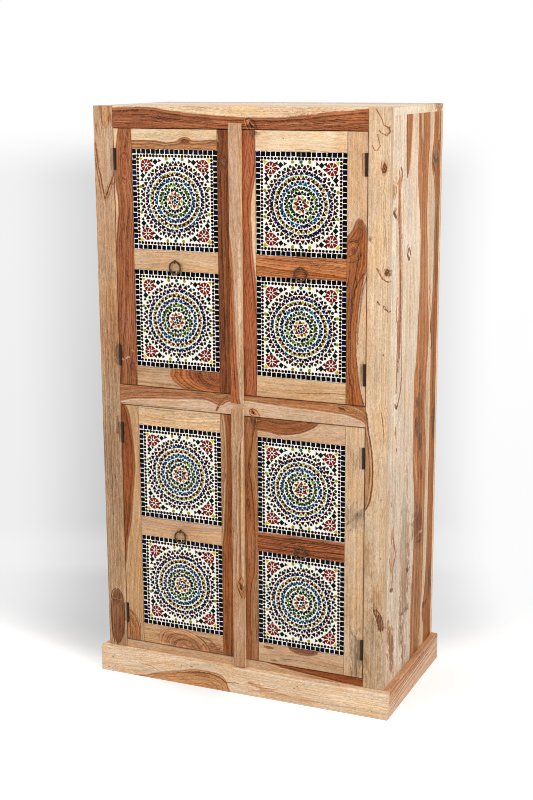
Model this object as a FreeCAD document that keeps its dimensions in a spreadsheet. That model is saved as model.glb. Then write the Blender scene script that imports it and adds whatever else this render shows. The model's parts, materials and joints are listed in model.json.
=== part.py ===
import FreeCAD, Part
import os
import re

# A tall free-standing cabinet in striped hardwood. Four framed doors stand in a
# face frame, two above two, and each door holds two mosaic slabs. The case is on
# a plinth of boards. Millimetres, +Z up, the front faces -Y, and the origin is on
# the floor under the middle of the whole outline.

DRIVING = [
    ("body_width", 910, "case across the side walls"),
    ("body_depth", 480, "case from its front to its back"),
    ("plinth_height", 82, "boards round the foot"),
    ("plinth_thickness", 20, "how far the plinth stands out from the case"),
    ("plinth_rounding", 4, "top outer edge of the plinth"),
    ("bottom_reveal", 26, "bottom rail seen above the plinth"),
    ("opening_height", 760, "each door opening"),
    ("middle_rail_height", 60, "face frame rail between the doors"),
    ("top_rail_height", 62, "face frame rail above the doors"),
    ("bottom_rail_height", 62, "face frame rail, part of it behind the plinth"),
    ("post_width", 63, "front posts"),
    ("front_thickness", 22, "face frame and doors"),
    ("side_thickness", 22, "side planks"),
    ("back_thickness", 18, "back panel"),
    ("top_thickness", 22, "top panel"),
    ("deck_thickness", 18, "bottom panel and the fixed deck between the doors"),
    ("shelf_thickness", 18, "loose shelves"),
    ("shelf_setback", 40, "shelf front behind the doors"),
    ("shelf_side_clearance", 2, "shelf end to side wall"),
    ("cleat_size", 20, "square battens under shelves and decks"),
    ("frame_tenon_length", 30, "rails into posts"),
    ("frame_tenon_thickness", 8, "rails into posts"),
    ("frame_tenon_shoulder", 8, "above and below each tenon"),
    ("mortise_clearance", 1, "beyond the end of every tenon"),
    ("hinge_gap", 2, "door edge to post"),
    ("meeting_gap", 2, "between the two doors of a pair"),
    ("edge_gap", 2, "above and below a door"),
    ("stile_width", 58, "door uprights"),
    ("door_top_rail", 57, "height of a door's top rail"),
    ("door_middle_rail", 60, "height of a door's middle rail"),
    ("door_bottom_rail", 60, "height of a door's bottom rail"),
    ("door_tenon_length", 30, "door rails into stiles"),
    ("door_tenon_thickness", 7, "door rails into stiles"),
    ("door_tenon_shoulder", 8, "above and below each tenon"),
    ("mosaic_recess", 2.5, "mosaic face behind the door's face"),
    ("mosaic_thickness", 7, "slab between stiles and rails"),
    ("tongue_thickness", 5, "edge of the slab held in the groove"),
    ("tongue_depth", 6, "edge of the slab held in the groove"),
    ("tongue_clearance", 0.3, "beyond the tongue in its groove"),
    ("strip_width", 37, "cover strip over the meeting line"),
    ("strip_thickness", 12, "cover strip"),
    ("strip_rounding", 1.5, "long front edges of the cover strip"),
    ("strip_offset", -0.5, "strip middle past the meeting line"),
    ("upper_strip_rise", 16, "upper strip above its opening"),
    ("lower_strip_rise", 19, "lower strip above its opening"),
    ("strip_drop", 23, "strip below its opening"),
    ("hinge_length", 62, "butt hinge"),
    ("hinge_inset", 90, "hinge middle from the end of the opening"),
    ("hinge_axis_inset", 4.5, "hinge axis from the post"),
    ("hinge_axis_projection", 1, "hinge axis in front of the door's face"),
    ("knuckle_radius", 4, "hinge barrel"),
    ("knuckle_gap", 0.3, "between neighbouring knuckles"),
    ("pin_radius", 2, "hinge pin"),
    ("pin_clearance", 0.05, "running clearance round the pin"),
    ("leaf_thickness", 1.5, "hinge leaf"),
    ("leaf_width", 20, "hinge leaf from its axis to its back edge"),
    ("leaf_gap", 0.4, "between closed leaves"),
    ("leaf_relief", 0.5, "leaf edge behind the other leaf's knuckles"),
    ("notch_clearance", 0.5, "round the hinge in the door's edge"),
    ("relief_width", 9, "shallow hand-cut recess beside each barrel"),
    ("relief_depth", 1.2, "shallow hand-cut recess beside each barrel"),
    ("screw_head_radius", 3.2, "countersunk hinge screw"),
    ("screw_shank_radius", 1.6, "countersunk hinge screw"),
    ("screw_length", 16, "countersunk hinge screw"),
    ("nail_radius", 1.6, "plinth nail"),
    ("nail_length", 38, "plinth nail"),
    ("nail_end_inset", 27, "nail from the side of the case"),
    ("nail_top_inset", 24, "upper nail below the plinth's top"),
    ("nail_bottom_inset", 20, "lower nail above the floor"),
    ("nail_middle_offset", 193, "nails along the front from the middle"),
    ("nail_side_inset", 30, "side nails from the corner of the side wall"),
    ("ring_radius", 17.5, "pull ring, to the middle of its wire"),
    ("ring_wire_radius", 2.75, "pull ring"),
    ("ring_projection", 6, "ring in front of the door's face"),
    ("pull_drop", 1.5, "pull below the middle of its rail"),
    ("eye_wire_radius", 1.25, "eye that holds the ring"),
    ("eye_clearance", 0.35, "between ring and eye"),
    ("eye_shank_length", 14, "eye driven into the rail"),
    ("stop_width", 100, "door stop block"),
    ("stop_thickness", 15, "door stop block"),
    ("stop_overlap", 18, "stop block behind the top of the doors"),
]

SIDES = ("left", "right")
LEVELS = ("lower", "upper")
KNUCKLES = 5
PLANKS = 4
SCREW_SHARES = (-0.36, 0, 0.36)

DERIVED = [
    ("case_half", "body_width / 2"),
    ("wall_inside", "case_half - side_thickness"),
    ("opening_half", "case_half - post_width"),
    ("front_plane", "(plinth_thickness - body_depth) / 2"),
    ("rear_plane", "(plinth_thickness + body_depth) / 2"),
    ("inside_front", "front_plane + front_thickness"),
    ("inside_back", "rear_plane - back_thickness"),
    ("plank_width", f"(inside_back - inside_front) / {PLANKS}"),
    ("lower_bottom", "plinth_height + bottom_reveal"),
    ("lower_top", "lower_bottom + opening_height"),
    ("upper_bottom", "lower_top + middle_rail_height"),
    ("upper_top", "upper_bottom + opening_height"),
    ("full_height", "upper_top + top_rail_height"),
    ("top_underside", "full_height - top_thickness"),
    ("door_outer", "opening_half - hinge_gap"),
    ("door_inner", "meeting_gap / 2"),
    ("field_outer", "door_outer - stile_width"),
    ("field_inner", "door_inner + stile_width"),
    ("door_height", "opening_height - 2 * edge_gap"),
    ("slab_height", "(door_height - door_top_rail - door_middle_rail - door_bottom_rail) / 2"),
    ("groove_depth", "tongue_depth + tongue_clearance"),
    ("tongue_front", "front_plane + mosaic_recess + mosaic_thickness"),
    ("tongue_back", "tongue_front + tongue_thickness"),
    ("joint_middle", "(tongue_front + tongue_back) / 2"),
    ("axis_x", "opening_half - hinge_axis_inset"),
    ("axis_y", "front_plane - hinge_axis_projection"),
    ("leaf_front", "knuckle_radius + leaf_relief"),
    ("frame_leaf_face", "hinge_axis_inset - leaf_thickness"),
    ("door_leaf_face", "frame_leaf_face - leaf_gap"),
    ("door_leaf_seat", "door_leaf_face - leaf_thickness"),
    ("notch_radius", "knuckle_radius + notch_clearance"),
    ("pull_x", "(field_inner + field_outer) / 2"),
    ("pull_y", "front_plane - ring_projection"),
    ("eye_radius", "ring_wire_radius + eye_clearance + eye_wire_radius"),
]

doc = FreeCAD.newDocument("MosaicCabinet")
sheet = doc.addObject("Spreadsheet::Sheet", "Dimensions")
aliases = set()
nodes = []


def fill_sheet():
    """One row for each driving size, then one for each size that follows."""
    row = 1
    for alias, value, note in DRIVING:
        sheet.set(f"A{row}", note)
        sheet.set(f"B{row}", str(value))
        sheet.setAlias(f"B{row}", alias)
        aliases.add(alias)
        row += 1
    for alias, text in DERIVED:
        sheet.set(f"B{row}", "=" + text)
        sheet.setAlias(f"B{row}", alias)
        aliases.add(alias)
        row += 1
    doc.recompute()


def bind(item, prop, text):
    """Tie one property to a sum of sheet names."""
    def cell(match):
        word = match.group()
        return f"Dimensions.{word}" if word in aliases else word
    item.setExpression(prop, re.sub(r"[a-z_]+", cell, text))


def place(item, x="0", y="0", z="0"):
    for axis, text in (("x", x), ("y", y), ("z", z)):
        bind(item, f".Placement.Base.{axis}", text)
    return item


def sided(side, span):
    """A span of x on the right-hand half, or its mirror image on the left."""
    low, high = span
    return span if side == "right" else (f"-({high})", f"-({low})")


def block(name, x, y, z, kind="Part::Box", owner=doc):
    """A straight piece between two planes along each axis."""
    add = owner.newObject if owner is not doc else doc.addObject
    item = add(kind, name)
    for size, (low, high) in (("Length", x), ("Width", y), ("Height", z)):
        bind(item, size, f"({high}) - ({low})")
    return place(item, x[0], y[0], z[0])


def rod(name, radius, length, turn=None):
    """A round bar along +Z, or along the axis that the turn leads to."""
    item = doc.addObject("Part::Cylinder", name)
    bind(item, "Radius", radius)
    bind(item, "Height", length)
    if turn:
        item.Placement.Rotation = turn
    return item


def fuse(name, pieces):
    item = doc.addObject("Part::MultiFuse", name)
    item.Shapes = pieces
    item.Refine = True
    return item


def group(name, pieces):
    item = doc.addObject("Part::Compound", name)
    item.Links = pieces
    return item


def cut(name, base, tools):
    tool = tools[0] if len(tools) == 1 else fuse(name + "_waste", tools)
    item = doc.addObject("Part::Cut", name)
    item.Base = base
    item.Tool = tool
    item.Refine = True
    return item


def node(item, label):
    """Name a finished sub-part and put it on the list of files."""
    item.Label = label
    nodes.append(item)
    return item


def eased_board(label, x, y, z, rounding, picks):
    """A board with some long edges rounded, each picked by a point test."""
    body = doc.addObject("PartDesign::Body", label + "_body")
    board = block(label + "_board", x, y, z, "PartDesign::AdditiveBox", body)
    doc.recompute()
    names = []
    for number, edge in enumerate(board.Shape.Edges, 1):
        if picks(edge.CenterOfMass - board.Shape.BoundBox.Center, edge.tangentAt(edge.FirstParameter)):
            names.append(f"Edge{number}")
    easing = body.newObject("PartDesign::Fillet", label + "_easing")
    easing.Base = (board, names)
    bind(easing, "Radius", rounding)
    body.Tip = easing
    return body


TURN_TO_Y = FreeCAD.Rotation(FreeCAD.Vector(1, 0, 0), -90)
TURN_TO_X = FreeCAD.Rotation(FreeCAD.Vector(0, 1, 0), 90)
TURN_BACK = FreeCAD.Rotation(FreeCAD.Vector(0, 1, 0), -90)
HALF_TURN = FreeCAD.Rotation(FreeCAD.Vector(0, 1, 0), 180)
NO_TURN = FreeCAD.Rotation()


def copy_of(item, name, turn, x="0", y="0", z="0"):
    """The same piece again in another place."""
    link = doc.addObject("App::Link", name)
    link.LinkedObject = item
    link.Placement = FreeCAD.Placement(FreeCAD.Vector(), turn)
    return place(link, x, y, z)


# Hinge hardware, drawn once about its own axis with the post on the +X side


def knuckle_span(number):
    """The ends of one knuckle along the hinge, counted from the bottom."""
    pitch = f"(hinge_length + knuckle_gap) / {KNUCKLES}"
    low = f"{number} * {pitch} - hinge_length / 2"
    return low, f"{low} + {pitch} - knuckle_gap"


def make_screws(name, face, turn):
    """Three countersunk screws in a row along one leaf."""
    head = doc.addObject("Part::Cone", name + "_head")
    bind(head, "Radius1", "screw_head_radius")
    bind(head, "Radius2", "screw_shank_radius")
    bind(head, "Height", "leaf_thickness")
    shank = rod(name + "_shank", "screw_shank_radius", "screw_length")
    screw = fuse(name + "_one", [head, shank])
    row = []
    for number, share in enumerate(SCREW_SHARES, 1):
        height = f"{share} * hinge_length"
        depth = "(leaf_front + leaf_width) / 2"
        row.append(copy_of(screw, f"{name}_{number}", turn, face, depth, height))
    return group(name, row)


def make_leaf(name, seat, face, own_knuckles, screws):
    """A leaf plate with its knuckles, bored for the pin and the screws."""
    half = "hinge_length / 2"
    solid = [block(name + "_plate", (seat, face), ("leaf_front", "leaf_width"), (f"-{half}", half))]
    for number in own_knuckles:
        low, high = knuckle_span(number)
        solid.append(block(f"{name}_tab_{number}", (seat, face), ("0", "leaf_front"), (low, high)))
        knuckle = rod(f"{name}_knuckle_{number}", "knuckle_radius", f"({high}) - ({low})")
        solid.append(place(knuckle, "0", "0", low))
    bore = place(rod(name + "_bore", "pin_radius + pin_clearance", "hinge_length"), z=f"-{half}")
    return cut(name, fuse(name + "_blank", solid), [bore, screws])


def make_hinge_parts():
    """Every piece of one hinge, and the waste that lets it into the door."""
    half = "hinge_length / 2"
    frame_screws = make_screws("frame_screw", "frame_leaf_face", TURN_TO_X)
    door_screws = make_screws("door_screw", "door_leaf_face", TURN_BACK)
    frame_leaf = make_leaf("frame_leaf", "frame_leaf_face", "hinge_axis_inset", (0, 2, 4), frame_screws)
    door_leaf = make_leaf("door_leaf", "door_leaf_seat", "door_leaf_face", (1, 3), door_screws)
    pin = group("hinge_pin", [place(rod("pin_rod", "pin_radius", "hinge_length"), z=f"-{half}")])
    tall = (f"-{half} - notch_clearance", f"{half} + notch_clearance")
    barrel_notch = block("barrel_notch", ("-notch_radius", "hinge_axis_inset"),
                         ("-notch_radius", "leaf_front"), tall)
    leaf_notch = block("leaf_notch", ("door_leaf_seat", "hinge_axis_inset"),
                       ("0", "leaf_width"), tall)
    notch = fuse("hinge_notch", [barrel_notch, leaf_notch])
    return {"frame_leaf": frame_leaf, "door_leaf": door_leaf, "pin": pin, "notch": notch,
            "frame_screws": frame_screws, "door_screws": door_screws}


def hinge_heights(level):
    return (f"{level}_bottom + hinge_inset", f"{level}_top - hinge_inset")


def hinge_copies(part, level, side):
    """One piece of the hinge at both hinges of one door."""
    copies = []
    turn = NO_TURN if side == "right" else HALF_TURN
    x = "axis_x" if side == "right" else "-axis_x"
    for number, height in enumerate(hinge_heights(level), 1):
        name = f"{part}_{level}_{side}_{number}"
        copies.append(copy_of(hinge[part], name, turn, x, "axis_y", height))
    return copies


def relief_blocks(level, side):
    """The shallow recess on the left of each barrel, in the door or the post."""
    edge = "axis_x - notch_radius" if side == "right" else "-opening_half"
    blocks = []
    for number, height in enumerate(hinge_heights(level), 1):
        blocks.append(block(f"relief_{level}_{side}_{number}", (f"{edge} - relief_width", edge),
                            ("front_plane", "front_plane + relief_depth"),
                            (f"{height} - hinge_length / 2", f"{height} + hinge_length / 2")))
    return blocks


# Case


def make_nails():
    """Nails through the plinth boards into the case behind them."""
    nail = rod("nail", "nail_radius", "nail_length")
    high = "plinth_height - nail_top_inset"
    rows = [("nail_end", "case_half - nail_end_inset", high),
            ("nail_foot", "case_half - nail_end_inset", "nail_bottom_inset"),
            ("nail_middle", "nail_middle_offset", high)]
    nails = []
    for name, x, z in rows:
        for side, sign in (("left", "-"), ("right", "")):
            place_x = f"{sign}({x})"
            nails.append(copy_of(nail, f"{name}_{side}", TURN_TO_Y, place_x,
                                 "front_plane - plinth_thickness", z))
    for side in SIDES:
        start = "case_half + plinth_thickness"
        turn = TURN_BACK if side == "right" else TURN_TO_X
        x = start if side == "right" else f"-({start})"
        for end, y in (("front", "inside_front + nail_side_inset"),
                       ("rear", "inside_back - nail_side_inset")):
            for row, z in (("high", high), ("low", "nail_bottom_inset")):
                nails.append(copy_of(nail, f"nail_{side}_{end}_{row}", turn, x, y, z))
    return node(group("plinth_nails", nails), "plinth_nails")


FRONT_RAILS = {"top": ("upper_top", "full_height"),
               "middle": ("lower_top", "upper_bottom"),
               "bottom": ("lower_bottom - bottom_rail_height", "lower_bottom")}
FRAME_DEPTH = ("front_plane", "inside_front")
FRAME_TENON = ("(front_plane + inside_front - frame_tenon_thickness) / 2",
               "(front_plane + inside_front + frame_tenon_thickness) / 2")


def shouldered(span, shoulder):
    low, high = span
    return f"{low} + {shoulder}", f"{high} - {shoulder}"


def make_front_rail(name, span):
    """A face frame rail with a tenon at each end."""
    reach = "(opening_half + frame_tenon_length)"
    rail = block(f"{name}_rail", ("-opening_half", "opening_half"), FRAME_DEPTH, span)
    tenon = block(f"{name}_tenon", (f"-{reach}", reach), FRAME_TENON,
                  shouldered(span, "frame_tenon_shoulder"))
    whole = fuse(f"front_{name}_rail_whole", [rail, tenon])
    if name == "bottom":
        whole = cut(f"front_{name}_rail", whole, [nails])
    return node(whole, f"front_{name}_rail")


def make_post(side):
    """A front post with mortises for the three rails."""
    post = block(f"{side}_post", sided(side, ("opening_half", "case_half")), FRAME_DEPTH,
                 ("0", "full_height"))
    waste = []
    reach = "opening_half + frame_tenon_length + mortise_clearance"
    for name, span in FRONT_RAILS.items():
        waste.append(block(f"{side}_mortise_{name}", sided(side, ("opening_half", reach)),
                           FRAME_TENON, shouldered(span, "frame_tenon_shoulder")))
    if side == "left":
        waste += relief_blocks("lower", side) + relief_blocks("upper", side)
    bored = cut(f"{side}_post_mortised", post, waste)
    return node(cut(f"{side}_front_post", bored, [nails, frame_screws]), f"{side}_front_post")


def make_side_panel(side):
    """Upright planks glued edge to edge, the end ones nailed to the plinth."""
    planks = []
    for number in range(PLANKS):
        low = f"inside_front + {number} * plank_width"
        plank = block(f"{side}_plank_{number + 1}", sided(side, ("wall_inside", "case_half")),
                      (low, f"{low} + plank_width"), ("0", "top_underside"))
        if number in (0, PLANKS - 1):
            plank = cut(f"{side}_plank_{number + 1}_nailed", plank, [nails])
        planks.append(plank)
    return node(group(f"{side}_side_panel", planks), f"{side}_side_panel")


def make_panel(label, half, y, z):
    return node(block(label, (f"-({half})", half), y, z), label)


def make_cleats():
    """A pair of battens under each deck and shelf."""
    levels = {"bottom": ("lower_bottom - deck_thickness", "inside_front"),
              "lower_shelf": ("(lower_bottom + lower_top - shelf_thickness) / 2",
                              "inside_front + shelf_setback"),
              "deck": ("upper_bottom - deck_thickness", "inside_front"),
              "upper_shelf": ("(upper_bottom + upper_top - shelf_thickness) / 2",
                              "inside_front + shelf_setback")}
    cleats = []
    for name, (top, front) in levels.items():
        for side in SIDES:
            cleats.append(block(f"cleat_{name}_{side}",
                                sided(side, ("wall_inside - cleat_size", "wall_inside")),
                                (front, "inside_back"), (f"{top} - cleat_size", top)))
    return node(group("shelf_cleats", cleats), "shelf_cleats")


def make_shelf(level):
    middle = f"({level}_bottom + {level}_top) / 2"
    return make_panel(f"{level}_shelf", "wall_inside - shelf_side_clearance",
                      ("inside_front + shelf_setback", "inside_back"),
                      (f"{middle} - shelf_thickness / 2", f"{middle} + shelf_thickness / 2"))


def make_stops():
    """Blocks behind the doors' meeting corners, hung from the board above."""
    above = {"lower": "upper_bottom - deck_thickness", "upper": "top_underside"}
    stops = []
    for level in LEVELS:
        stops.append(block(f"stop_{level}", ("-stop_width / 2", "stop_width / 2"),
                           ("inside_front", "inside_front + stop_thickness"),
                           (f"{level}_top - stop_overlap", above[level])))
    return node(group("door_stops", stops), "door_stops")


def make_plinth():
    """A front board over the ends of two side boards, top outer edges rounded."""
    outer = "case_half + plinth_thickness"
    tall = ("0", "plinth_height")
    front = eased_board("plinth_front", (f"-({outer})", outer),
                        ("front_plane - plinth_thickness", "front_plane"), tall,
                        "plinth_rounding",
                        lambda middle, way: abs(way.x) > 0.5 and middle.y < 0 < middle.z)
    node(cut("plinth_front", front, [nails]), "plinth_front")
    for side in SIDES:
        sign = 1 if side == "right" else -1
        board = eased_board(f"plinth_{side}", sided(side, ("case_half", outer)),
                            ("front_plane", "rear_plane"), tall, "plinth_rounding",
                            lambda middle, way: abs(way.y) > 0.5 and sign * middle.x > 0 and middle.z > 0)
        node(cut(f"plinth_{side}", board, [nails]), f"plinth_{side}")


def make_case():
    for name, span in FRONT_RAILS.items():
        make_front_rail(name, span)
    for side in SIDES:
        make_post(side)
        make_side_panel(side)
    inner = ("inside_front", "inside_back")
    make_panel("back_panel", "case_half", ("inside_back", "rear_plane"), ("0", "top_underside"))
    make_panel("top_panel", "case_half", ("inside_front", "rear_plane"),
               ("top_underside", "full_height"))
    make_panel("bottom_panel", "wall_inside", inner,
               ("lower_bottom - deck_thickness", "lower_bottom"))
    make_panel("middle_deck", "wall_inside", inner,
               ("upper_bottom - deck_thickness", "upper_bottom"))
    for level in LEVELS:
        make_shelf(level)
    make_cleats()
    make_stops()
    make_plinth()


# Doors


TENON_DEPTH = ("joint_middle - door_tenon_thickness / 2", "joint_middle + door_tenon_thickness / 2")
TONGUE_DEPTH = ("tongue_front", "tongue_back")


def door_spans(level):
    """The heights of a door's rails and mosaic slabs, from its bottom up."""
    low = f"{level}_bottom + edge_gap"
    spans = {}
    for name, size in (("bottom_rail", "door_bottom_rail"), ("lower_slab", "slab_height"),
                       ("middle_rail", "door_middle_rail"), ("upper_slab", "slab_height"),
                       ("top_rail", "door_top_rail")):
        high = f"{low} + {size}"
        spans[name] = (low, high)
        low = high
    return spans


def make_stile(door, side, level, role):
    """An upright with a groove for the slabs and mortises for three rails."""
    spans = door_spans(level)
    name = f"{door}_{role}"
    if role == "hinge_stile":
        width = ("field_outer", "door_outer")
        groove = ("field_outer", "field_outer + groove_depth")
        mortise = ("field_outer", "field_outer + door_tenon_length + mortise_clearance")
    else:
        width = ("door_inner", "field_inner")
        groove = ("field_inner - groove_depth", "field_inner")
        mortise = ("field_inner - door_tenon_length - mortise_clearance", "field_inner")
    tall = (spans["bottom_rail"][0], spans["top_rail"][1])
    board = block(name + "_board", sided(side, width), FRAME_DEPTH, tall)
    groove_tall = (f"{spans['bottom_rail'][1]} - groove_depth", f"{spans['top_rail'][0]} + groove_depth")
    waste = [block(name + "_groove", sided(side, groove), TONGUE_DEPTH, groove_tall)]
    for rail in ("bottom_rail", "middle_rail", "top_rail"):
        waste.append(block(f"{name}_mortise_{rail}", sided(side, mortise), TENON_DEPTH,
                           shouldered(spans[rail], "door_tenon_shoulder")))
    if role == "hinge_stile":
        waste += hinge_copies("notch", level, side)
        if side == "right":
            waste += relief_blocks(level, side)
        board = cut(name + "_jointed", board, waste)
        waste = hinge_copies("door_screws", level, side)
    return node(cut(name, board, waste), name)


def make_door_rail(door, side, level, rail, eye):
    """A cross rail with two tenons, grooved where it meets a mosaic slab."""
    low, high = door_spans(level)[rail]
    name = f"{door}_{rail}"
    field = sided(side, ("field_inner", "field_outer"))
    reach = sided(side, ("field_inner - door_tenon_length", "field_outer + door_tenon_length"))
    board = block(name + "_board", field, FRAME_DEPTH, (low, high))
    tenon = block(name + "_tenon", reach, TENON_DEPTH, shouldered((low, high), "door_tenon_shoulder"))
    waste = []
    if rail != "bottom_rail":
        waste.append(block(name + "_groove_under", field, TONGUE_DEPTH, (low, f"{low} + groove_depth")))
    if rail != "top_rail":
        waste.append(block(name + "_groove_over", field, TONGUE_DEPTH, (f"{high} - groove_depth", high)))
    if rail == "middle_rail":
        waste.append(eye)
    return node(cut(name, fuse(name + "_blank", [board, tenon]), waste), name)


def make_mosaics(door, side, level):
    """Two slabs, each with a thinner edge that the grooves hold."""
    slabs = []
    for place_name in ("lower_slab", "upper_slab"):
        low, high = door_spans(level)[place_name]
        name = f"{door}_{place_name}"
        face = block(name + "_face", sided(side, ("field_inner", "field_outer")),
                     ("front_plane + mosaic_recess", "tongue_back"), (low, high))
        tongue = block(name + "_tongue",
                       sided(side, ("field_inner - tongue_depth", "field_outer + tongue_depth")),
                       TONGUE_DEPTH, (f"{low} - tongue_depth", f"{high} + tongue_depth"))
        slabs.append(fuse(name, [face, tongue]))
    return node(group(f"{door}_mosaics", slabs), f"{door}_mosaics")


def torus(name, radius, wire, turn):
    item = doc.addObject("Part::Torus", name)
    bind(item, "Radius1", radius)
    bind(item, "Radius2", wire)
    item.Placement.Rotation = turn
    return item


def make_pull(door, side, level):
    """A ring hanging in an eye whose shank is driven into the middle rail."""
    low, high = door_spans(level)["middle_rail"]
    x = "pull_x" if side == "right" else "-pull_x"
    height = f"({low} + {high}) / 2 - pull_drop"
    eye_loop = torus(f"{door}_eye_loop", "eye_radius", "eye_wire_radius", TURN_TO_X)
    place(eye_loop, x, "pull_y", height)
    reach = "ring_projection - eye_radius + eye_shank_length"
    shank = rod(f"{door}_eye_shank", "eye_wire_radius", reach, TURN_TO_Y)
    place(shank, x, "pull_y + eye_radius", height)
    eye = node(fuse(f"{door}_pull_eye", [eye_loop, shank]), f"{door}_pull_eye")
    ring = torus(f"{door}_pull_ring", "ring_radius", "ring_wire_radius", TURN_TO_Y)
    node(place(ring, x, "pull_y", f"{height} - ring_radius"), f"{door}_pull_ring")
    return eye


def make_cover_strip(level):
    """The strip on a left door that laps over the right door's edge."""
    across = ("strip_offset - strip_width / 2", "strip_offset + strip_width / 2")
    tall = (f"{level}_bottom - strip_drop", f"{level}_top + {level}_strip_rise")
    strip = eased_board(f"{level}_cover_strip", across,
                        ("front_plane - strip_thickness", "front_plane"), tall, "strip_rounding",
                        lambda middle, way: abs(way.z) > 0.5 and middle.y < 0)
    return node(strip, f"{level}_cover_strip")


def make_door(side, level):
    door = f"{level}_{side}_door"
    eye = make_pull(door, side, level)
    for role in ("hinge_stile", "meeting_stile"):
        make_stile(door, side, level, role)
    for rail in ("bottom_rail", "middle_rail", "top_rail"):
        make_door_rail(door, side, level, rail, eye)
    make_mosaics(door, side, level)
    leaves = hinge_copies("door_leaf", level, side) + hinge_copies("door_screws", level, side)
    node(group(f"{door}_hinge_leaves", leaves), f"{door}_hinge_leaves")


def everywhere(part):
    """One piece of the hinge at all eight hinges."""
    copies = []
    for level in LEVELS:
        for side in SIDES:
            copies += hinge_copies(part, level, side)
    return copies


def check_and_export():
    """Stop on any failed object or broken shape, then write one file per node."""
    doc.recompute()
    for item in doc.Objects:
        if {"Invalid", "Error"} & set(item.State):
            raise RuntimeError(f"{item.Label} did not build")
    for item in nodes:
        if item.Shape.isNull() or not item.Shape.isValid():
            raise RuntimeError(f"{item.Label} has no valid shape")
    os.makedirs("parts", exist_ok=True)
    for item in nodes:
        item.Shape.exportStep(f"parts/{item.Label}.step")
        print(f"{item.Label}: {len(item.Shape.Solids)} solids, {item.Shape.Volume:.0f} mm3")
    print(len(nodes), "nodes")


fill_sheet()
hinge = make_hinge_parts()
frame_screws = node(group("frame_hinge_screws", everywhere("frame_screws")), "frame_hinge_screws")
node(group("frame_hinge_leaves", everywhere("frame_leaf")), "frame_hinge_leaves")
node(group("hinge_pins", everywhere("pin")), "hinge_pins")
nails = make_nails()
make_case()
for door_level in LEVELS:
    for door_side in SIDES:
        make_door(door_side, door_level)
    make_cover_strip(door_level)
check_and_export()
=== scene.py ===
"""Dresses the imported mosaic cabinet: figured hardwood, glazed mosaic slabs, iron and brass."""

import json
import math
import random

import bmesh
import bpy
from mathutils import Matrix, Vector

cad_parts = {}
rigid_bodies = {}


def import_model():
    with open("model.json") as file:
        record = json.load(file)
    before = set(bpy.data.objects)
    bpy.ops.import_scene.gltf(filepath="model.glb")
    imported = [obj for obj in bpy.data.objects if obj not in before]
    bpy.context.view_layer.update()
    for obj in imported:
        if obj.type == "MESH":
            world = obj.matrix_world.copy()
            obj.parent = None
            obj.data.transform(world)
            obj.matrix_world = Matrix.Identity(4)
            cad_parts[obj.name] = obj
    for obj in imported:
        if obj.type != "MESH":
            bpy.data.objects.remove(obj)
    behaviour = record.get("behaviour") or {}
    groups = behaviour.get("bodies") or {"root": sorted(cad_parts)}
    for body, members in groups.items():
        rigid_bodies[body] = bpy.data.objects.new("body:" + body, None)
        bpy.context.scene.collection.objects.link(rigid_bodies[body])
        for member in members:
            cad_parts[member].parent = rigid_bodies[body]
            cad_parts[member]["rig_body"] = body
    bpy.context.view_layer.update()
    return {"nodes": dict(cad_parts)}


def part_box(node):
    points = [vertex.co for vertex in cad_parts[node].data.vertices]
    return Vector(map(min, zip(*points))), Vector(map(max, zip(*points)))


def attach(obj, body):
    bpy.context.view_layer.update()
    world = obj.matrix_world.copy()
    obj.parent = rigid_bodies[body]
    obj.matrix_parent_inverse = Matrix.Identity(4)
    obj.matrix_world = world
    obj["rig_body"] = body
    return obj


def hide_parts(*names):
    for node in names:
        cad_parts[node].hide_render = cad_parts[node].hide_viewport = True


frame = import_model()
nodes = frame["nodes"]
MM = 0.001


# Colours and node graphs


def srgb(red, green, blue):
    """A colour written as 0 to 255, as Blender's linear values."""
    linear = []
    for part in (red, green, blue):
        part /= 255
        linear.append(part / 12.92 if part <= 0.04045 else ((part + 0.055) / 1.055) ** 2.4)
    return (*linear, 1.0)


TONES = {
    "pale": srgb(236, 206, 170),
    "cream": srgb(224, 188, 148),
    "straw": srgb(210, 168, 126),
    "tan": srgb(194, 148, 106),
    "grey": srgb(168, 136, 106),
    "honey": srgb(190, 132, 88),
    "orange": srgb(180, 113, 70),
    "red": srgb(164, 98, 62),
    "brown": srgb(150, 94, 60),
    "dark": srgb(96, 58, 38),
}


def tone_of(tone):
    return TONES[tone] if isinstance(tone, str) else srgb(*tone)


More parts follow.
